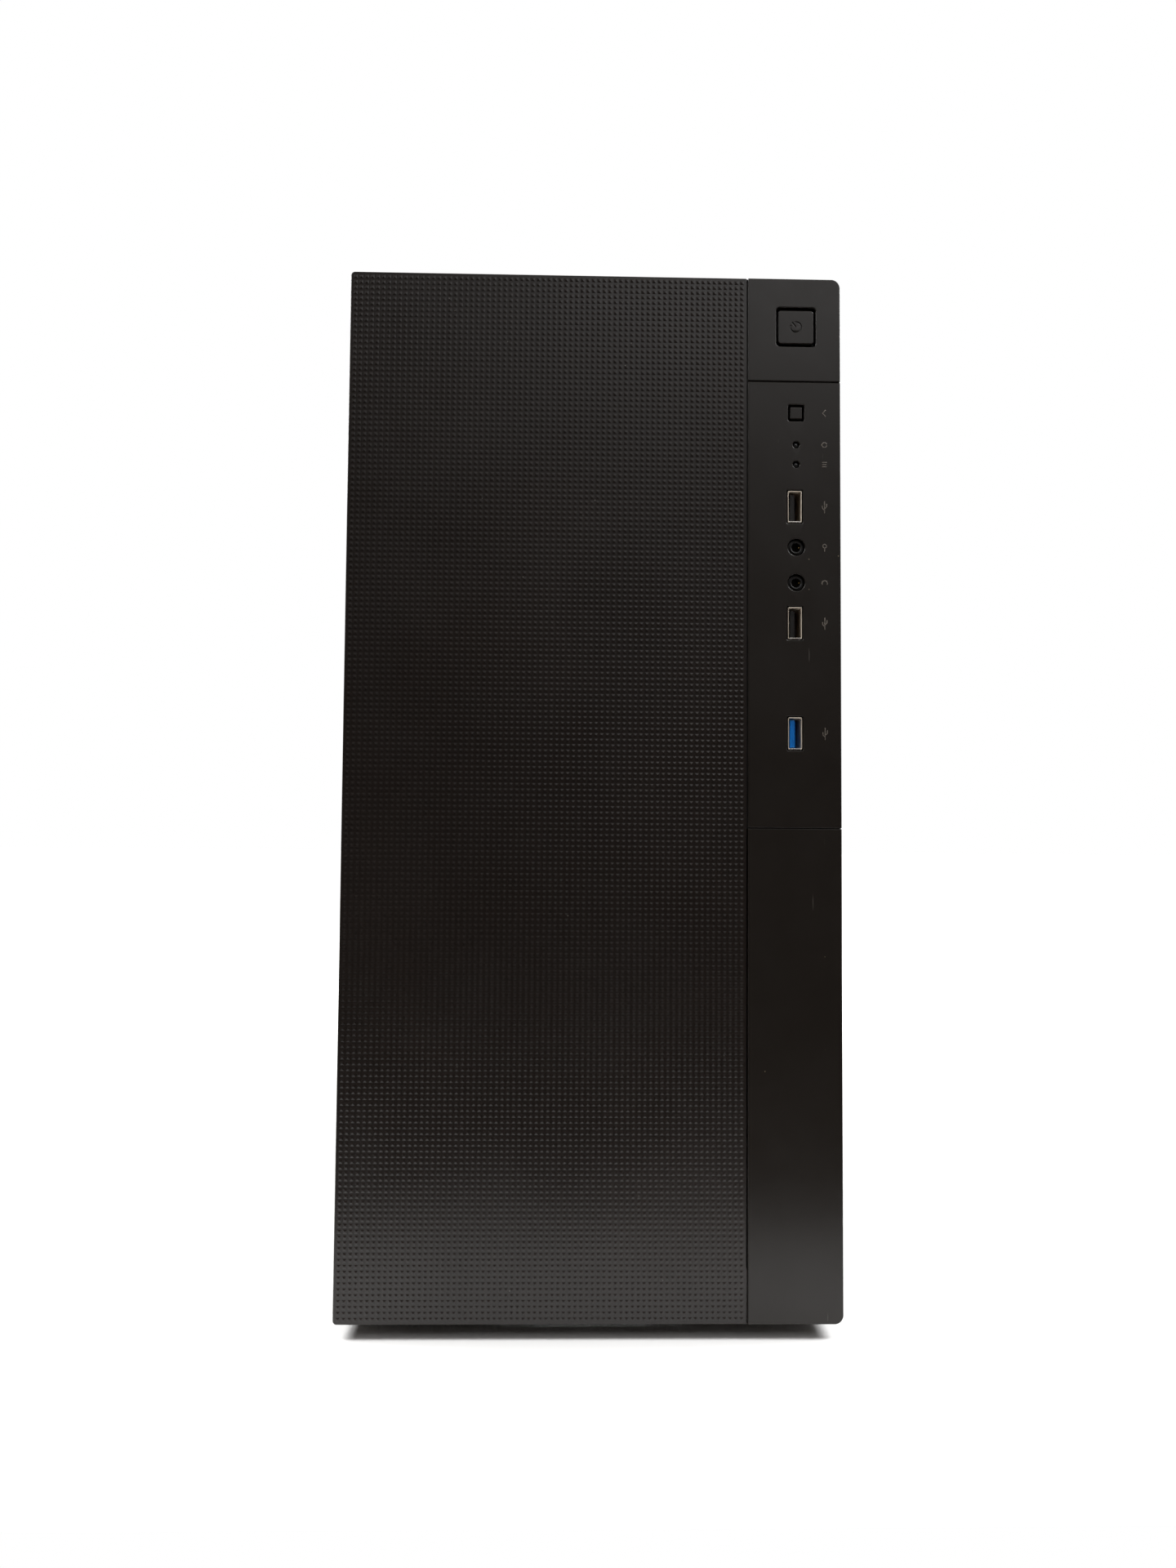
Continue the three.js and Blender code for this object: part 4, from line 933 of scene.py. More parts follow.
def fan_rotor(node, axis, size, blades):
    """Hub with a rounded rim and curved blades; the hub's closed end looks along the axis."""
    hub = size / 6
    tip = size / 2 - 5 * MM
    depth = 20.4 * MM
    piece = Piece("black")
    profile = [(0, 0), (hub - 2 * MM, 0), (hub - 0.6 * MM, 0.5 * MM), (hub, 2 * MM)]
    profile += [(hub, depth - 2 * MM), (hub - 0.6 * MM, depth - 0.5 * MM), (hub - 2 * MM, depth), (0, depth)]
    piece.lathe("black", profile, "z", (0, 0), 56)
    chord = size * 0.225
    for i in range(blades):
        curved_blade(piece, "black", hub - 0.6 * MM, tip, depth / 2, chord, 2 * math.pi * i / blades)
    piece.turn(seat(node, axis, depth))
    piece.make(node + "_blades", node, "black_plastic", [node], 50)


def foot(node):
    """A moulded foot: tapered, with a groove round it and a ribbed sole."""
    lowest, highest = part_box(node)
    height = highest.z - lowest.z
    outer = (highest.x - lowest.x) / 2
    rings = [(0, 0), (7.5, 0), (7.9, 0.5), (8.9, 0.5), (9.3, 0), (12.8, 0), (13.5, 0.5), (14.9, 2.0)]
    profile = [(radius * MM, depth * MM) for radius, depth in rings]
    profile += [(15.6 * MM, 4.0 * MM), (15.1 * MM, 4.4 * MM), (15.3 * MM, 4.9 * MM), (16.1 * MM, 5.1 * MM)]
    profile += [(outer, height - 0.6 * MM), (outer - 0.5 * MM, height), (0, height)]
    piece = Piece("rubber").lathe("rubber", profile, "z", (middle(node).x, middle(node).y), 64)
    piece.make(node + "_rubber", "case", "foot_rubber", [node])


def thumbscrew(node):
    """A knurled head with a driver slot, on a threaded shank."""
    lowest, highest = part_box(node)
    centre = face_centre(node)
    head_back = highest.y
    head_front = head_back - 6.9 * MM
    radius = (highest.x - lowest.x) / 2
    valley = 0.955
    points = 4 * 36
    outline = []
    for i in range(points):
        reach = radius * (1, 1, valley, valley)[i % 4]
        angle = 2 * math.pi * i / points
        outline.append((centre[0] + reach * math.cos(angle), centre[1] + reach * math.sin(angle)))
    piece = Piece("nickel")
    slot_depth = 1.4 * MM
    piece.plate("nickel", outline, "y", head_back - slot_depth, head_front, edges=(0, 0.5 * MM))
    for side in (0, 180):
        half = slotted_half(centre, radius * valley, 0.6 * MM, side)
        piece.plate("nickel", half, "y", head_back - slot_depth, head_back, edges=(0, 0.4 * MM))
    thread = [(0, lowest.y), (1.1 * MM, lowest.y)]
    crest, root, collar = 1.6 * MM, 1.25 * MM, 4 * MM
    collar_front = head_front - 2 * MM
    turns = 13
    pitch = (collar_front - lowest.y) / turns
    for i in range(turns):
        thread += [(crest, lowest.y + (i + 0.5) * pitch), (root, lowest.y + (i + 1) * pitch)]
    thread += [(crest, collar_front), (collar, collar_front), (collar, head_front), (0, head_front)]
    piece.lathe("nickel", thread, "y", centre, 32)
    piece.make(node + "_knurled", node, "zinc_steel", [node], 30)


def slotted_half(centre, radius, gap, degrees):
    """Half a disc, left of a slot through its middle and turned by an angle."""
    start = math.degrees(math.asin(gap / radius))
    return moved(arc((0, 0), radius, start, 180 - start, 40), *centre, degrees)


# ------------------------------------------------------------------ fan frames


def fan_frame(node, axis, size):
    """Two square flanges joined by a duct, and the motor's carrier on four arms at the first one."""
    half, depth, flange = size / 2, 25 * MM, 4 * MM
    bore = ring((0, 0), half - 2.8 * MM, 72)
    spacing = half - 7.5 * MM
    screws = [ring((u * spacing, v * spacing), 2.2 * MM, 20) for u in (-1, 1) for v in (-1, 1)]
    outline = around((0, 0), size, size, 5 * MM)
    piece = Piece("black")
    for start, end in ((0, flange), (depth, depth - flange)):
        edges, hole_edges = (0.5 * MM, 0.3 * MM), (0.3 * MM, 0)
        piece.plate("black", outline, "z", start, end, [bore] + screws, edges, hole_edges)
    duct = ring((0, 0), half - 1.2 * MM, 72)
    piece.plate("black", duct, "z", flange, depth - flange, [bore])
    hub = size / 6
    for quarter in range(4):
        arm = stroke([(hub - 1 * MM, 0), (hub + 12 * MM, 1.5 * MM), (half - 2 * MM, 0)], 3.6 * MM)
        arm = moved(arm, 0, 0, 45 + 90 * quarter)
        piece.plate("black", arm, "z", 0.2 * MM, 3 * MM, edges=(0.5 * MM, 0.5 * MM))
    piece.plate("black", ring((0, 0), hub, 56), "z", 0, 3 * MM, edges=(0.6 * MM, 0.4 * MM))
    piece.plate("cream", ring((0, 0), hub * 0.72, 56), "z", -0.05 * MM, 0.5 * MM)
    piece.turn(seat(node, axis, depth))
    piece.make(node + "_moulding", "case", "black_plastic", [node])


# ------------------------------------------------------------------ the rear


def ring_slot(centre, inner, outer, quarter, spoke):
    """A quarter of a ring, less half a spoke at both ends."""
    points = []
    for radius, backwards in ((outer, False), (inner, True)):
        half = math.degrees(math.asin(spoke / 2 / radius))
        start, end = 45 + 90 * quarter + half, 135 + 90 * quarter - half
        points += arc(centre, radius, *((end, start) if backwards else (start, end)), 14)
    return points


SLOT_PITCH = 20.32 * MM
SLOT_X = (-28 * MM, 72 * MM)
SLOT_TOP = middle("slot_cover").z


def rear_holes():
    """Everything that is cut out of the rear sheet, drawn in (x, z)."""
    holes = [outline_of("psu_case", "y", (2 * MM, 3 * MM), 2 * MM)]
    lip_low, lip_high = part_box("io_shield")
    lip = 1.4 * MM
    holes.append(Piece.square((lip_low.x + lip, lip_low.z + lip), (lip_high.x - lip, lip_high.z - lip)))
    left, right = SLOT_X
    half_slot, half_cut = 6.5 * MM, 0.45 * MM
    holes.append(rounded((left, SLOT_TOP - half_slot), (right, SLOT_TOP + half_slot), 1 * MM, 3))
    for i in range(1, 7):
        slot_z = SLOT_TOP - i * SLOT_PITCH
        for z in (slot_z - half_slot, slot_z + half_slot):
            holes.append(rounded((left, z - half_cut), (right, z + half_cut), 0.44 * MM, 3))
        holes.append(ring((22 * MM, slot_z), 3 * MM, 28))
    vent_width, vent_height = 4.5 * MM, 60 * MM
    for i in range(5):
        x = (-83 + i * 11) * MM
        for z in (28 * MM, 98 * MM):
            holes.append(rounded((x, z), (x + vent_width, z + vent_height), 2.2 * MM, 6))
    fan = face_centre("rear_fan_frame")
    for inner in (16, 27, 38, 49):
        holes += [ring_slot(fan, inner * MM, (inner + 7) * MM, quarter, 4 * MM) for quarter in range(4)]
    for corner in ("upper_left", "lower_left", "upper_right", "lower_right"):
        holes.append(ring(face_centre(corner + "_thumbscrew"), 2.2 * MM, 24))
    return holes


def rear_panel():
    """Pressed sheet steel with every cut-out, and a folded flange down each side."""
    lowest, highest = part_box("rear_panel")
    sheet = 1 * MM
    front, flange_end = highest.y - sheet, 17 * MM
    piece = Piece("steel")
    outline = outline_of("rear_panel", "y", radius=1.5 * MM)
    piece.plate("steel", outline, "y", highest.y, front, rear_holes(), (0.18 * MM, 0))
    for x in (lowest.x, highest.x - sheet):
        low_corner = (x, lowest.y, lowest.z + flange_end)
        piece.box("steel", low_corner, (x + sheet, front, highest.z - flange_end), 0.2 * MM)
    piece.make("rear_panel_pressing", "case", "painted_steel", ["rear_panel"], 30)


def screw_head(piece, x, z, y):
    """A pan head with a cross recess, looking backwards."""
    radius, height = 3.1 * MM, 1.9 * MM
    cross = [(3.4, 0.7), (0.7, 0.7), (0.7, 3.4), (-0.7, 3.4), (-0.7, 0.7), (-3.4, 0.7)]
    half = [(u * 0.52 * MM, v * 0.52 * MM) for u, v in cross]
    recess = moved(half + [(-u, -v) for u, v in half], x, z, 20)
    outline = ring((x, z), radius, 28)
    piece.plate("nickel", outline, "y", y + height, y + 0.5 * height, [recess], (0.55 * MM, 0), (0.1 * MM, 0))
    piece.plate("nickel", outline, "y", y + 0.5 * height, y)


def rear_screws():
    """The screws that hold the rear fan and the power supply."""
    panel_back = high("rear_panel").y
    fan = middle("rear_fan_frame")
    low_corner, high_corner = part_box("psu_case")
    piece = Piece("nickel")
    reach = 52.5 * MM
    for u in (-1, 1):
        for v in (-1, 1):
            screw_head(piece, fan.x + u * reach, fan.z + v * reach, panel_back)
    inset_x, inset_z = 1.4 * MM, 0.2 * MM
    for x in (low_corner.x - 3 * MM + inset_x, high_corner.x + 4 * MM - inset_x):
        for z in (low_corner.z + 6 * MM + inset_z, high_corner.z - 9 * MM):
            screw_head(piece, x, z, panel_back)
    piece.make("rear_screws", "case", "zinc_steel")


FAST_USB_Z = 0.24  # the fast sockets are the ones above this height


def board_connectors():
    """(middle height, width along the board, height off it, kind), from the top down."""
    rows = [(317, 14, 28, "usb"), (295, 18, 13, "video"), (271, 15, 15, "usb"), (249, 15, 15, "usb")]
    rows += [(226, 16, 29, "network"), (205, 13, 15, "usb"), (183, 14, 33, "audio")]
    return [(z * MM, width * MM, height * MM, kind) for z, width, height, kind in rows]


def rear_ports():
    """The metal shells behind the shield, with tongues, contacts and coloured sockets in them."""
    lowest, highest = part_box("rear_ports")
    face, front, back = highest.x, lowest.y, highest.y
    piece = Piece("nickel")
    piece.box("black", (face - 1.2 * MM, front, lowest.z), (face, back - 5 * MM, highest.z))
    for z, width, height, kind in board_connectors():
        x, half = (face - height, face), width / 2
        if kind == "audio":
            audio_stack(piece, x, (z - half, z + half), (front, back))
            continue
        floor, wall = back - 7 * MM, 0.8 * MM
        outline = rounded((x[0], z - half), (x[1], z + half), 0.6 * MM, 3)
        mouth = rounded((x[0] + wall, z - half + wall), (x[1] - wall, z + half - wall), 0.4 * MM, 3)
        piece.plate("nickel", outline, "y", back, floor, [mouth], (0.15 * MM, 0))
        piece.plate("nickel", outline, "y", floor, front)
        tongues = 2 if kind == "usb" else 1
        step = height / (2 if kind == "network" else tongues)
        colour = "blue" if kind == "usb" and z > FAST_USB_Z else "black"
        for i in range(tongues):
            port_tongue(piece, colour, x[1] - step * (i + 0.5), (z - half, z + half), (floor, back))
        if kind in ("usb", "network"):
            bar = (x[0] + x[1]) / 2
            bar_low = (bar - 0.6 * MM, floor, z - half + 0.5 * MM)
            piece.box("nickel", bar_low, (bar + 0.6 * MM, back - 0.3 * MM, z + half - 0.5 * MM), 0.2 * MM)
    piece.make("rear_port_shells", "case", "plated_metal", ["rear_ports"])


def port_tongue(piece, colour, x, z, y):
    """A flat blade across a socket, with four contacts along one side."""
    floor, back = y
    blade = rounded((x - 1.1 * MM, z[0] + 2 * MM), (x + 1.1 * MM, z[1] - 2 * MM), 0.3 * MM, 3)
    piece.plate(colour, blade, "y", back - 0.9 * MM, floor, edges=(0.2 * MM, 0))
    pitch = (z[1] - z[0] - 5 * MM) / 4
    for k in range(4):
        contact_z = (z[0] + z[1]) / 2 + (k - 1.5) * pitch
        low_corner = (x - 1.2 * MM, floor, contact_z - 0.4 * MM)
        piece.box("gold", low_corner, (x - 1.0 * MM, back - 1.6 * MM, contact_z + 0.4 * MM))


def audio_stack(piece, x, z, y):
    """Three round sockets, one beside the other, in their usual colours."""
    front, back = y
    third, gap = (x[1] - x[0]) / 3, 0.1 * MM
    joint = back - 4 * MM
    for i, colour in enumerate(("pink", "green", "blue")):
        start = x[1] - third * (i + 1)
        outline = rounded((start + gap, z[0]), (start + third - gap, z[1]), 0.8 * MM, 4)
        centre = (start + third / 2, (z[0] + z[1]) / 2)
        bore = ring(centre, 1.8 * MM)
        piece.plate(colour, outline, "y", back - 0.3 * MM, joint, [ring(centre, 3 * MM)], (0.4 * MM, 0))
        piece.plate("black", outline, "y", joint, front, [bore])
        sleeve = ring(centre, 2.7 * MM)
        piece.plate("nickel", sleeve, "y", back - 0.2 * MM, back - 3.9 * MM, [bore], (0.3 * MM, 0))


def io_shield():
    """Thin bright plate with a pressed lip and an opening round each connector."""
    lowest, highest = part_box("io_shield")
    face = high("rear_ports").x
    holes = []
    for z, width, height, _ in board_connectors():
        reach = 0.4 * MM
        corner_low = (face - height - reach, z - width / 2 - reach)
        holes.append(rounded(corner_low, (face + reach, z + width / 2 + reach), 0.7 * MM, 3))
    outline = outline_of("io_shield", "y", (1.7 * MM, 1.7 * MM), 1 * MM)
    piece = Piece("zinc")
    piece.plate("zinc", outline, "y", highest.y, highest.y - 0.8 * MM, holes, (0.3 * MM, 0), (0.1 * MM, 0))
    outer = outline_of("io_shield", "y", radius=1 * MM)
    piece.plate("zinc", outer, "y", lowest.y + 0.6 * MM, lowest.y, [inset(outline, 1.2 * MM)])
    piece.make("io_shield_pressing", "case", "zinc_steel", ["io_shield"])


def mains_inlet():
    """Flange, a six-sided mains socket with flat pins, and the well for the switch."""
    lowest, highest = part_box("psu_inlet")
    centre_z = (lowest.z + highest.z) / 2
    outline = outline_of("psu_inlet", "y", radius=1.6 * MM)
    start = lowest.x + 3.3 * MM
    end, cut_corner = start + 24.4 * MM, 4 * MM
    low_z, high_z = centre_z - 8.3 * MM, centre_z + 8.3 * MM
    socket = [(start, low_z), (end, low_z), (end, high_z - cut_corner), (end - cut_corner, high_z)]
    socket += [(start + cut_corner, high_z), (start, high_z - cut_corner)]
    well = around(face_centre("psu_rocker"), 12.4 * MM, 19.6 * MM, 0.6 * MM)
    piece = Piece("black")
    front, floor = highest.y - 2 * MM, highest.y - 16 * MM
    piece.plate("black", outline, "y", highest.y, front, [socket, well], (0.5 * MM, 0), (0.3 * MM, 0))
    body = outline_of("psu_inlet", "y", (1.7 * MM, 1.7 * MM), 0.8 * MM)
    piece.plate("black", body, "y", front, floor, [socket, well])
    piece.plate("black", body, "y", floor, lowest.y)
    for dx, dz in ((-7, -2), (0, 2), (7, -2)):
        x, z = start + (12.2 + dx) * MM, centre_z + dz * MM
        pin = around((x, z), 2 * MM, 4 * MM, 0.3 * MM)
        piece.plate("nickel", pin, "y", highest.y - 3 * MM, floor, edges=(0.5 * MM, 0))
    piece.make("mains_inlet_moulding", "case", "black_plastic", ["psu_inlet"])


def rocker_signs():
    """The plain bar and ring for on and off, standing a hair proud of the rocker."""
    centre = middle("psu_rocker")
    pivot_y = high("psu_case").y + 0.5 * MM
    tilt = Matrix.Rotation(math.radians(8), 4, "X")
    place = Matrix.Translation((centre.x, pivot_y, centre.z)) @ tilt
    piece = Piece("cream")
    bar = stroke([(0, 4.2 * MM), (0, 7 * MM)], 0.5 * MM)
    circle_out, circle_in = ring((0, -5.4 * MM), 1.5 * MM), ring((0, -5.4 * MM), 1.05 * MM)
    front, back = 2.6 * MM, 1.75 * MM
    piece.plate("cream", bar, "y", front, back)
    piece.plate("cream", circle_out, "y", front, back, [circle_in])
    piece.turn(place)
    piece.make("rocker_signs", "psu_rocker", "black_plastic")


def fan_guard():
    """Round wire rings on two crossed wires."""
    lowest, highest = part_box("psu_fan_guard")
    centre = middle("psu_fan_guard")
    wire = (highest.z - lowest.z) / 2
    piece = Piece("nickel")
    for radius in (21, 30, 39, 48, 57):
        loop = [(centre.x + u, centre.y + v, centre.z) for u, v in ring((0, 0), radius * MM, 72)]
        piece.tube("nickel", loop + loop[:1], wire * 0.8, 8)
    reach = 65 * MM
    for angle in (45, -45):
        u, v = reach * math.cos(math.radians(angle)), reach * math.sin(math.radians(angle))
        ends = [(centre.x - u, centre.y - v, centre.z), (centre.x + u, centre.y + v, centre.z)]
        piece.tube("nickel", ends, wire * 0.95, 8)
    piece.make("fan_guard_wires", "case", "zinc_steel", ["psu_fan_guard"])


# ------------------------------------------------------------------ motherboard and memory


def motherboard():
    """The board with its sockets, coolers, capacitors and small parts."""
    lowest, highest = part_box("motherboard")
    back = highest.x
    face = back - 1.6 * MM
    first_y, first_z = lowest.y, lowest.z
    piece = Piece("board")
    corner_holes = [(y, z) for y in (12, 144, 232) for z in (12, 122, 232)]
    holes = [ring((first_y + y * MM, first_z + z * MM), 1.9 * MM, 20) for y, z in corner_holes]
    outline = outline_of("motherboard", "x", radius=1.5 * MM, steps=3)
    piece.plate("board", outline, "x", face, back, holes, (0.1 * MM, 0.1 * MM))
    for hole in holes:
        collar = inset(hole, -1.6 * MM)
        piece.plate("gold", collar, "x", face - 0.05 * MM, face + 0.1 * MM, [inset(hole, -0.1 * MM)])

    def block(material, height, y, z, edge=0.3, base=0.0):
        """A block on the board: its height, and where it lies, in millimetres."""
        low_corner = (face - (base + height) * MM, y[0] * MM, z[0] * MM)
        piece.box(material, low_corner, (face - base * MM, y[1] * MM, z[1] * MM), edge * MM)

    def can(material, top, height, y, z, radius):
        """A round capacitor or cell with a disc on top, in millimetres."""
        raised, sunk = height + 0.1, height - 0.2
        side = [(0, height), (radius - 0.8, height), (radius, height - 0.5), (radius, 0)]
        disc = [(0, raised), (radius - 1, raised), (radius - 0.9, sunk), (0, sunk)]
        for finish, outline in ((material, side), (top, disc)):
            profile = [(reach * MM, face - depth * MM) for reach, depth in outline]
            piece.lathe(finish, profile, "x", (y * MM, z * MM), 24)

    def cooler(y, z, base, height, fins, pitch, fin, margin):
        """A plate with a row of fins standing on it, in millimetres."""
        block("aluminium", base, y, z, 0.6)
        for i in range(fins):
            start = y[0] + 1 + i * pitch
            block("aluminium", height, (start, start + fin), (z[0] + margin, z[1] - margin), 0.3, base)

    processor = middle("cpu_heatsink")
    y, z = processor.y / MM, processor.z / MM
    block("black", 5, (y - 24, y + 24), (z - 24, z + 24), 0.6)
    block("nickel", 6.6, (y - 19, y + 19), (z - 19, z + 19), 0.8)
    for i in range(4):
        slot_y = 22 + 9.5 * i
        for side in (slot_y - 3.2, slot_y + 0.9):
            block("black" if i % 2 else "slate", 7.4, (side, side + 2.3), (190, 326))
        for end in (188, 325.5):
            block("cream", 8, (slot_y - 2.6, slot_y + 2.6), (end, end + 2.5), 0.5)
    for i in range(4):
        slot_z = (SLOT_TOP - i * SLOT_PITCH) / MM
        reach = (150 - (89 if i in (0, 2) else 40), 150)
        for side in (slot_z - 3.7, slot_z + 0.9):
            block("slate" if i == 0 else "black", 10.8, reach, (side, side + 2.8))
        block("black", 6, reach, (slot_z - 0.9, slot_z + 0.9), 0)
    power_plug(piece, face, first_y + 2 * MM)
    edge_y = first_y / MM
    for i in range(3):
        low_z = 116 + i * 18
        block("black", 9, (edge_y + 2, edge_y + 11), (low_z, low_z + 14), 0.5)
        block("cream", 1.2, (edge_y + 4, edge_y + 9), (low_z + 2, low_z + 12), 0.2, 8)
    for i in range(9):
        pin_y = edge_y + 7 + i * 2.4
        for pin_z in (93.2, 95.6):
            block("gold", 7.6, (pin_y, pin_y + 0.7), (pin_z, pin_z + 0.7), 0)
    block("black", 2.5, (edge_y + 6, edge_y + 28), (92, 97.4))
    cooler((0, 38), (108, 146), 3, 7, 9, 4.2, 1.6, 1)
    cooler((62, 152), (306, 324), 4, 12, 15, 6.1, 2, 0.5)
    for i in range(6):
        block("slate", 6.5, (64 + i * 14, 73 + i * 14), (209, 216) if i > 3 else (205, 212), 0.8)
    tall_cans = [(166, 205, 5, 12), (166, 190, 5, 12), (8, 215, 4, 10), (8, 228, 4, 10)]
    for can_y, can_z, radius, height in tall_cans:
        can("slate", "aluminium", height, can_y, can_z, radius)
    for can_y in (84, 96, 108, 120, 132):
        can("slate", "aluminium", 10, can_y, 196, 3.4)
    can("nickel", "nickel", 3.6, 50, 165, 10)
    small_parts(block)
    piece.make("motherboard_assembly", "case", "circuit_board", ["motherboard"])


def power_plug(piece, face, edge_y):
    """The board's main power socket with its plug: two rows of square ways."""
    low_z, ways, pitch, opening = 240 * MM, 12, 4.2 * MM, 3.2 * MM
    front = face - 13 * MM
    high_z = low_z + ways * pitch + 1.2 * MM
    piece.box("cream", (front, edge_y, low_z), (face, edge_y + 10 * MM, high_z), 0.5 * MM)
    for row in range(2):
        for i in range(ways):
            y = edge_y + 1.2 * MM + row * pitch
            z = low_z + 0.9 * MM + i * pitch
            way_low = (front - 0.12 * MM, y, z)
            piece.box("black", way_low, (front + 0.3 * MM, y + opening, z + opening), 0.2 * MM)


def small_parts(block):
    """Resistors, capacitors and chips scattered over the free stretches of the board."""
    scatter = random.Random(5)
    fields = [((-44, 16), (150, 236)), ((44, 150), (166, 186)), ((-40, -6), (100, 146))]
    fields += [((152, 180), (92, 165)), ((-40, 12), (300, 328))]
    parts_in_a_field = 34
    for (y0, y1), (z0, z1) in fields:
        for _ in range(parts_in_a_field):
            y, z = scatter.uniform(y0, y1 - 3), scatter.uniform(z0, z1 - 3)
            kind = scatter.choice(("cream", "black", "black", "nickel", "slate"))
            long_side, short_side = scatter.choice(((2.2, 1.1), (1.6, 0.8), (3.2, 1.7), (5, 4)))
            if scatter.random() < 0.5:
                long_side, short_side = short_side, long_side
            block(kind, scatter.uniform(0.5, 1.2), (y, y + long_side), (z, z + short_side), 0.12)


def memory_module(node):
    """A green board with gold contacts and eight packages on each face."""
    lowest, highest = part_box(node)
    centre_y = middle(node).y
    piece = Piece("board")
    thin = 0.65 * MM
    outline = Piece.square((lowest.x, lowest.z), (highest.x, highest.z))
    edges = (0.1 * MM, 0.1 * MM)
    piece.plate("board", outline, "y", centre_y - thin, centre_y + thin, edges=edges, steps=1)

    def row(material, count, first, pitch, length, x, height, edge=0.0):
        """Equal blocks along the board, on the face that side says."""
        base = thin - 0.1 * MM
        low_y, high_y = sorted((centre_y + side * base, centre_y + side * height))
        for i in range(count):
            z = lowest.z + (first + i * pitch) * MM
            piece.box(material, (x[0], low_y, z), (x[1], high_y, z + length * MM), edge)

    for side in (-1, 1):
        row("black", 8, 6.7, 15.3, 11, (lowest.x + 5 * MM, lowest.x + 18 * MM), 1.85 * MM, 0.25 * MM)
        row("gold", 60, 3, 2.12, 1.3, (highest.x - 4 * MM, highest.x - 0.4 * MM), thin + 0.05 * MM)
    piece.make(node + "_detailed", "case", "circuit_board", [node])


def solid_state_drive():
    """A flat case with a plain label, a seam round it and four small metal discs on its face."""
    lowest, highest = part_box("solid_state_drive")
    outline = outline_of("solid_state_drive", "x", radius=2 * MM)
    groove = inset(outline, 0.35 * MM)
    split = lowest.x + 2.2 * MM
    piece = Piece("black")
    piece.plate("black", outline, "x", lowest.x, split - 0.2 * MM, edges=(0.7 * MM, 0.15 * MM))
    piece.plate("black", groove, "x", split - 0.3 * MM, split + 0.3 * MM)
    piece.plate("black", outline, "x", split + 0.2 * MM, highest.x, edges=(0.15 * MM, 0.7 * MM))
    left, right = lowest.y + 6 * MM, highest.y - 6 * MM
    label = rounded((left, lowest.z + 8 * MM), (right, highest.z - 26 * MM), 2 * MM)
    piece.plate("slate", label, "x", lowest.x - 0.1 * MM, lowest.x + 0.1 * MM)
    stripe = rounded((left, lowest.z + 12 * MM), (right, lowest.z + 16 * MM), 0.4 * MM)
    piece.plate("cream", stripe, "x", lowest.x - 0.14 * MM, lowest.x)
    for y, z in ((4, 14), (4, 90), (65.8, 14), (65.8, 90)):
        centre = (lowest.y + y * MM, lowest.z + z * MM)
        piece.plate("nickel", ring(centre, 1.3 * MM, 24), "x", lowest.x - 0.1 * MM, lowest.x + 0.2 * MM)
    piece.make("ssd_case", "case", "black_plastic", ["solid_state_drive"])


def hard_drive():
    """A cast body with a pressed lid, its screws, and the green board below."""
    lowest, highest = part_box("hard_drive")
    board_top, lid_base = lowest.z + 1.7 * MM, highest.z - 1.2 * MM
    piece = Piece("aluminium")
    outline = outline_of("hard_drive", "z", radius=2.5 * MM)
    piece.plate("aluminium", outline, "z", board_top, lid_base, edges=(0.5 * MM, 0.8 * MM))
    lid = outline_of("hard_drive", "z", (3 * MM, 4 * MM), 6 * MM)
    piece.plate("nickel", lid, "z", lid_base, highest.z, edges=(0, 0.5 * MM))
    board_low = (lowest.x + 4 * MM, lowest.y + 12 * MM)
    board = rounded(board_low, (highest.x - 4 * MM, highest.y - 3 * MM), 1 * MM)
    piece.plate("board", board, "z", lowest.z, board_top, edges=(0.1 * MM, 0))
    plug_low = (lowest.x + 30 * MM, highest.y - 4 * MM, board_top)
    piece.box("black", plug_low, (lowest.x + 78 * MM, highest.y + 0.1 * MM, board_top + 5 * MM), 0.4 * MM)
    raised = highest.z + 0.3 * MM
    for x in (8 * MM, highest.x - lowest.x - 8 * MM):
        for y in (9 * MM, 73 * MM, 138 * MM):
            screw = ring((lowest.x + x, lowest.y + y), 2.4 * MM, 24)
            piece.plate("zinc", screw, "z", highest.z - 0.4 * MM, raised)
    hub = ring(((lowest.x + highest.x) / 2, lowest.y + 88 * MM), 14 * MM, 64)
    piece.plate("nickel", hub, "z", highest.z - 0.2 * MM, raised, edges=(0, 0.2 * MM))
    piece.make("hard_drive_casting", "case", "aluminium", ["hard_drive"])


# ------------------------------------------------------------------ cables


def smooth_route(points, steps=10):
    """A centripetal spline through the points, as a finer list of points."""
    points = [Vector(point) for point in points]
    ends = [2 * points[0] - points[1]] + points + [2 * points[-1] - points[-2]]
    route = []
    for p0, p1, p2, p3 in zip(ends, ends[1:], ends[2:], ends[3:]):
        d0, d1, d2 = ((b - a).length ** 0.5 for a, b in ((p0, p1), (p1, p2), (p2, p3)))
        start = ((p1 - p0) / d0 - (p2 - p0) / (d0 + d1) + (p2 - p1) / d1) * d1
        end = ((p2 - p1) / d1 - (p3 - p1) / (d1 + d2) + (p3 - p2) / d2) * d1
        for i in range(steps):
            t = i / steps
            place = p1 * (1 - 3 * t**2 + 2 * t**3) + p2 * (3 * t**2 - 2 * t**3)
            route.append(place + start * (t - 2 * t**2 + t**3) + end * (t**3 - t**2))
    route.append(points[-1])
    return route


def cable(node, points, diameter):
    """A sleeved cable inside the case, fixed in a connector at both ends."""
    route = smooth_route(points)
    piece = Piece("sleeve").tube("sleeve", route, diameter / 2, 20)
    made = piece.make(node + "_sleeve", "case", "cable_jacket", [node], 50)


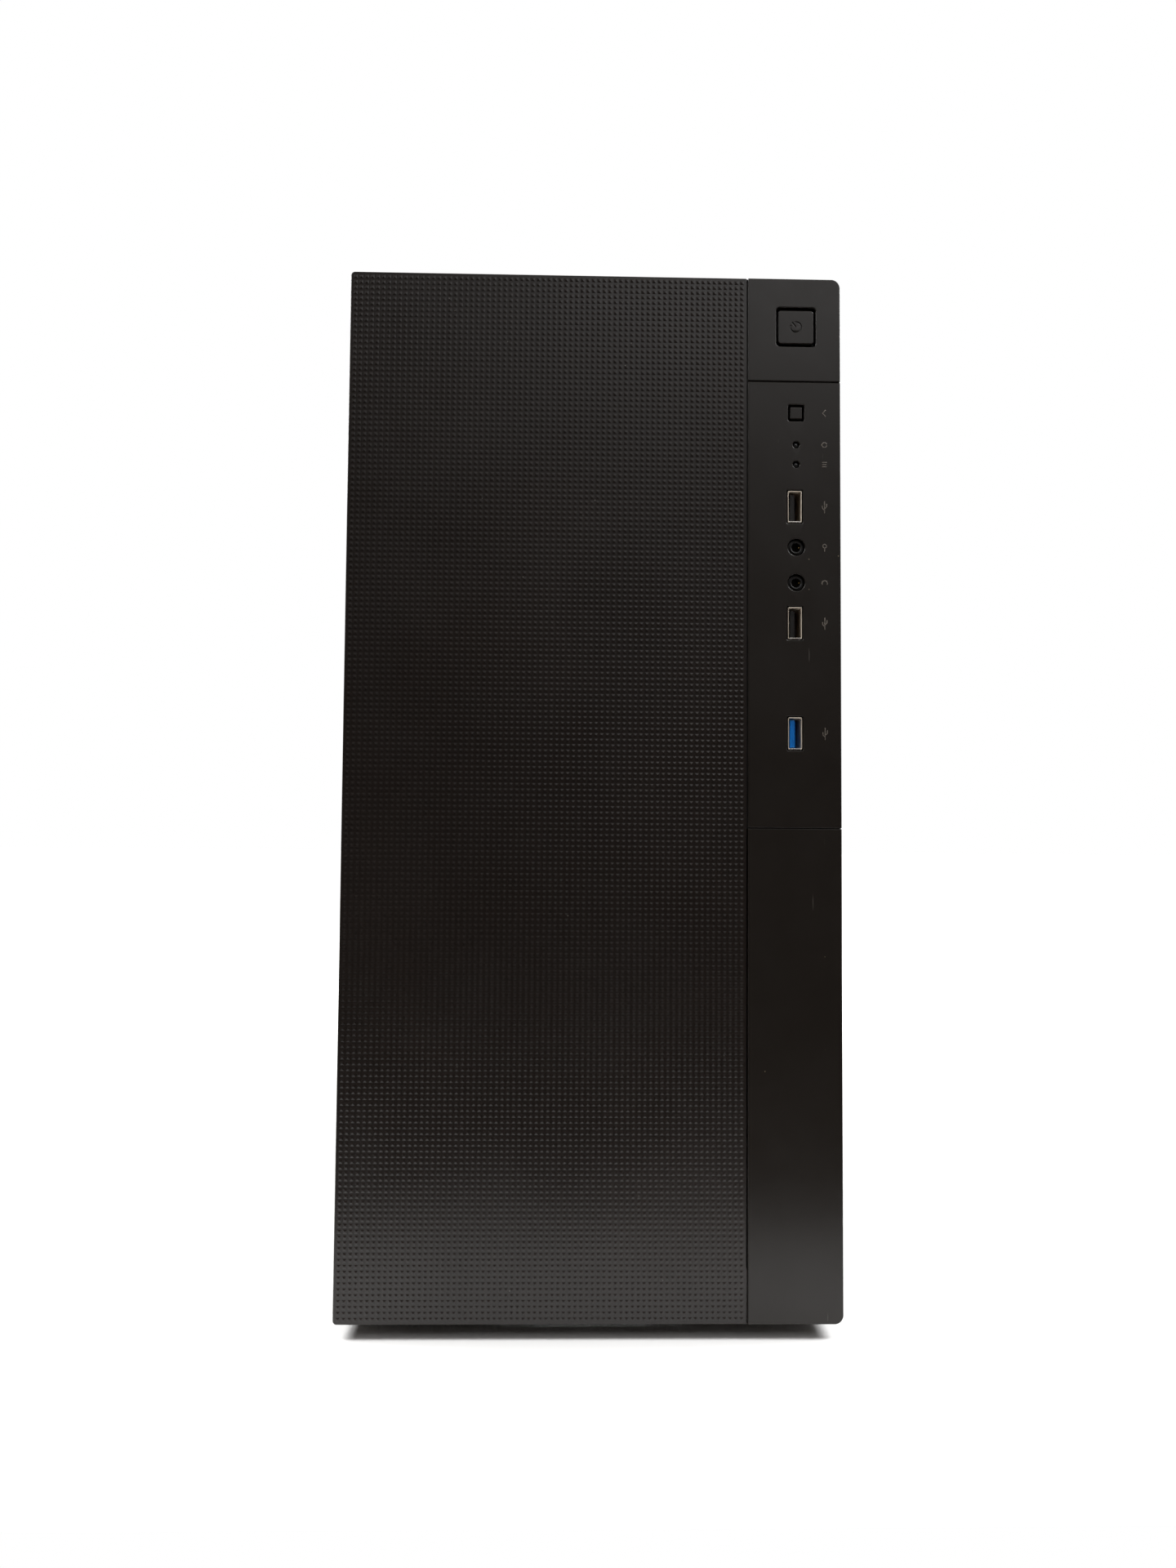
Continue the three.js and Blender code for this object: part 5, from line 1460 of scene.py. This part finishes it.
def cables():
    """The three cables. Their routes are given point by point, and start and end in a connector."""
    gap = 0.3 * MM
    board = low("motherboard").y
    face = high("motherboard").x - 1.6 * MM
    psu = low("psu_case").y - gap
    power_route = [
        (0.043, psu, 0.379),
        (0.042, 0.026, 0.377),
        (0.036, 0.002, 0.366),
        (0.027, -0.020, 0.344),
        (0.020, -0.036, 0.316),
        (0.0195, -0.046, 0.2925),
        (0.031, board + 7 * MM, 0.273),
        (0.0455, board + 7 * MM, 0.2666),
        (face - 13 * MM - gap, board + 7 * MM, 0.266),
    ]
    panel_route = [
        (0.082, high("front_io_board").y + gap, 0.259),
        (0.082, -0.164, 0.259),
        (0.087, -0.140, 0.248),
        (0.089, -0.112, 0.205),
        (0.086, -0.086, 0.152),
        (0.075, -0.069, 0.128),
        (0.064, -0.066, 0.110),
        (0.063, -0.060, 0.097),
        (0.0665, board + 5 * MM, 0.0945),
    ]
    drive_low, drive_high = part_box("hard_drive")
    drive_route = [
        (0.016, drive_high.y + gap, drive_low.z + 6 * MM),
        (0.016, 0.004, drive_low.z + 7 * MM),
        (0.020, 0.020, 0.034),
        (0.028, 0.022, 0.058),
        (0.032, 0.004, 0.088),
        (0.035, -0.024, 0.110),
        (0.041, -0.040, 0.119),
        (0.051, board + 7.6 * MM, 0.1236),
        (face - 9 * MM - gap, board + 7 * MM, 0.124),
    ]
    cable("main_power_cable", power_route, 10 * MM)
    cable("front_panel_cable", panel_route, 5 * MM)
    cable("drive_cable", drive_route, 5 * MM)


# ------------------------------------------------------------------ carried-over CAD nodes


def dress(node, material, radius):
    """A material for a CAD node that stays, and small radii on its sharp edges."""
    piece = NODES[node]
    piece.data.materials.clear()
    piece.data.materials.append(MATERIAL[material])
    weld = piece.modifiers.new("weld", "WELD")
    weld.merge_threshold = 0.002 * MM
    rounding = piece.modifiers.new("edge_radius", "BEVEL")
    rounding.width = radius
    rounding.segments = 2
    rounding.limit_method = "ANGLE"
    rounding.angle_limit = math.radians(40)
    rounding.harden_normals = True


# The CAD nodes that stay: material, edge radius in millimetres, nodes.
DRESSED = [
    ("steel", 0.25, ("case_floor", "case_top", "case_front", "motherboard_tray", "drive_cage")),
    ("steel", 0.25, ("left_side_panel", "right_side_panel")),
    ("zinc", 0.2, ("io_bracket", "psu_case", "slot_cover")),
    ("board", 0.15, ("front_io_board",)),
    ("black", 0.3, ("psu_rocker", "power_switch", "reset_switch")),
    ("aluminium", 0.2, ("cpu_heatsink",)),
    ("bezel", 0.35, ("front_bezel",)),
]


# ------------------------------------------------------------------ the whole


make_camera()
cables()
make_world()
make_floor(pale_floor())
FRONT_FLOOR = (0, FACE_Y - 0.1, 0)
make_light("front_low", (0.75, FACE_Y - 1.9, 1.0), (0, FACE_Y, 0.3), (1.7, 0.7), 0.45)
make_light("front_middle", (0.55, FACE_Y - 1.45, 1.3), (0, FACE_Y, 0.25), (1.4, 0.35), 1.7)
make_light("front_high", (0.6, FACE_Y - 0.96, 1.45), (0, FACE_Y, 0.3), (1.7, 1.1), 4.8, (0.98, 0.99, 1))
make_light("left_top", (-1.1, FACE_Y - 0.1, 1.35), FRONT_FLOOR, (0.8, 0.8), 30)
make_light("right_top", (1.1, FACE_Y - 0.1, 1.35), FRONT_FLOOR, (0.8, 0.8), 30)
make_light("back_left", (-0.9, 1.3, 1.2), (0, 0.2, 0.1), (0.9, 0.7), 22)
make_light("back_right", (1.0, 1.2, 1.1), (0, 0.2, 0.1), (0.8, 0.7), 18)

for material, radius, nodes in DRESSED:
    for node in nodes:
        dress(node, material, radius * MM)
textured_panel()
covers()
seam_backing()
button("power", (14.5 * MM, 13.9 * MM), 1.2 * MM, 4.4 * MM)
button("reset", (4.9 * MM, 5.0 * MM), 0.5 * MM)
for led in LED_NODES:
    indicator(led)
for usb in USB_NODES:
    usb_socket(usb, "blue" if usb == "usb_fast" else "grey")
for jack in JACK_NODES:
    audio_jack(jack)
fan_rotor("rear_fan_rotor", (0, -1, 0), 120 * MM, 7)
fan_rotor("front_fan_rotor", (0, 1, 0), 120 * MM, 7)
fan_rotor("cpu_fan_rotor", (-1, 0, 0), 92 * MM, 7)
fan_rotor("psu_fan_rotor", (0, 0, 1), 120 * MM, 9)
fan_frame("rear_fan_frame", (0, -1, 0), 120 * MM)
fan_frame("front_fan_frame", (0, 1, 0), 120 * MM)
fan_frame("cpu_fan_frame", (-1, 0, 0), 92 * MM)
rear_panel()
rear_screws()
rear_ports()
io_shield()
mains_inlet()
rocker_signs()
fan_guard()
motherboard()
memory_module("memory_module_1")
memory_module("memory_module_2")
solid_state_drive()
hard_drive()
for end in ("front", "rear"):
    for side in ("left", "right"):
        foot(f"{end}_{side}_foot")
for level in ("upper", "lower"):
    for side in ("left", "right"):
        thumbscrew(f"{level}_{side}_thumbscrew")
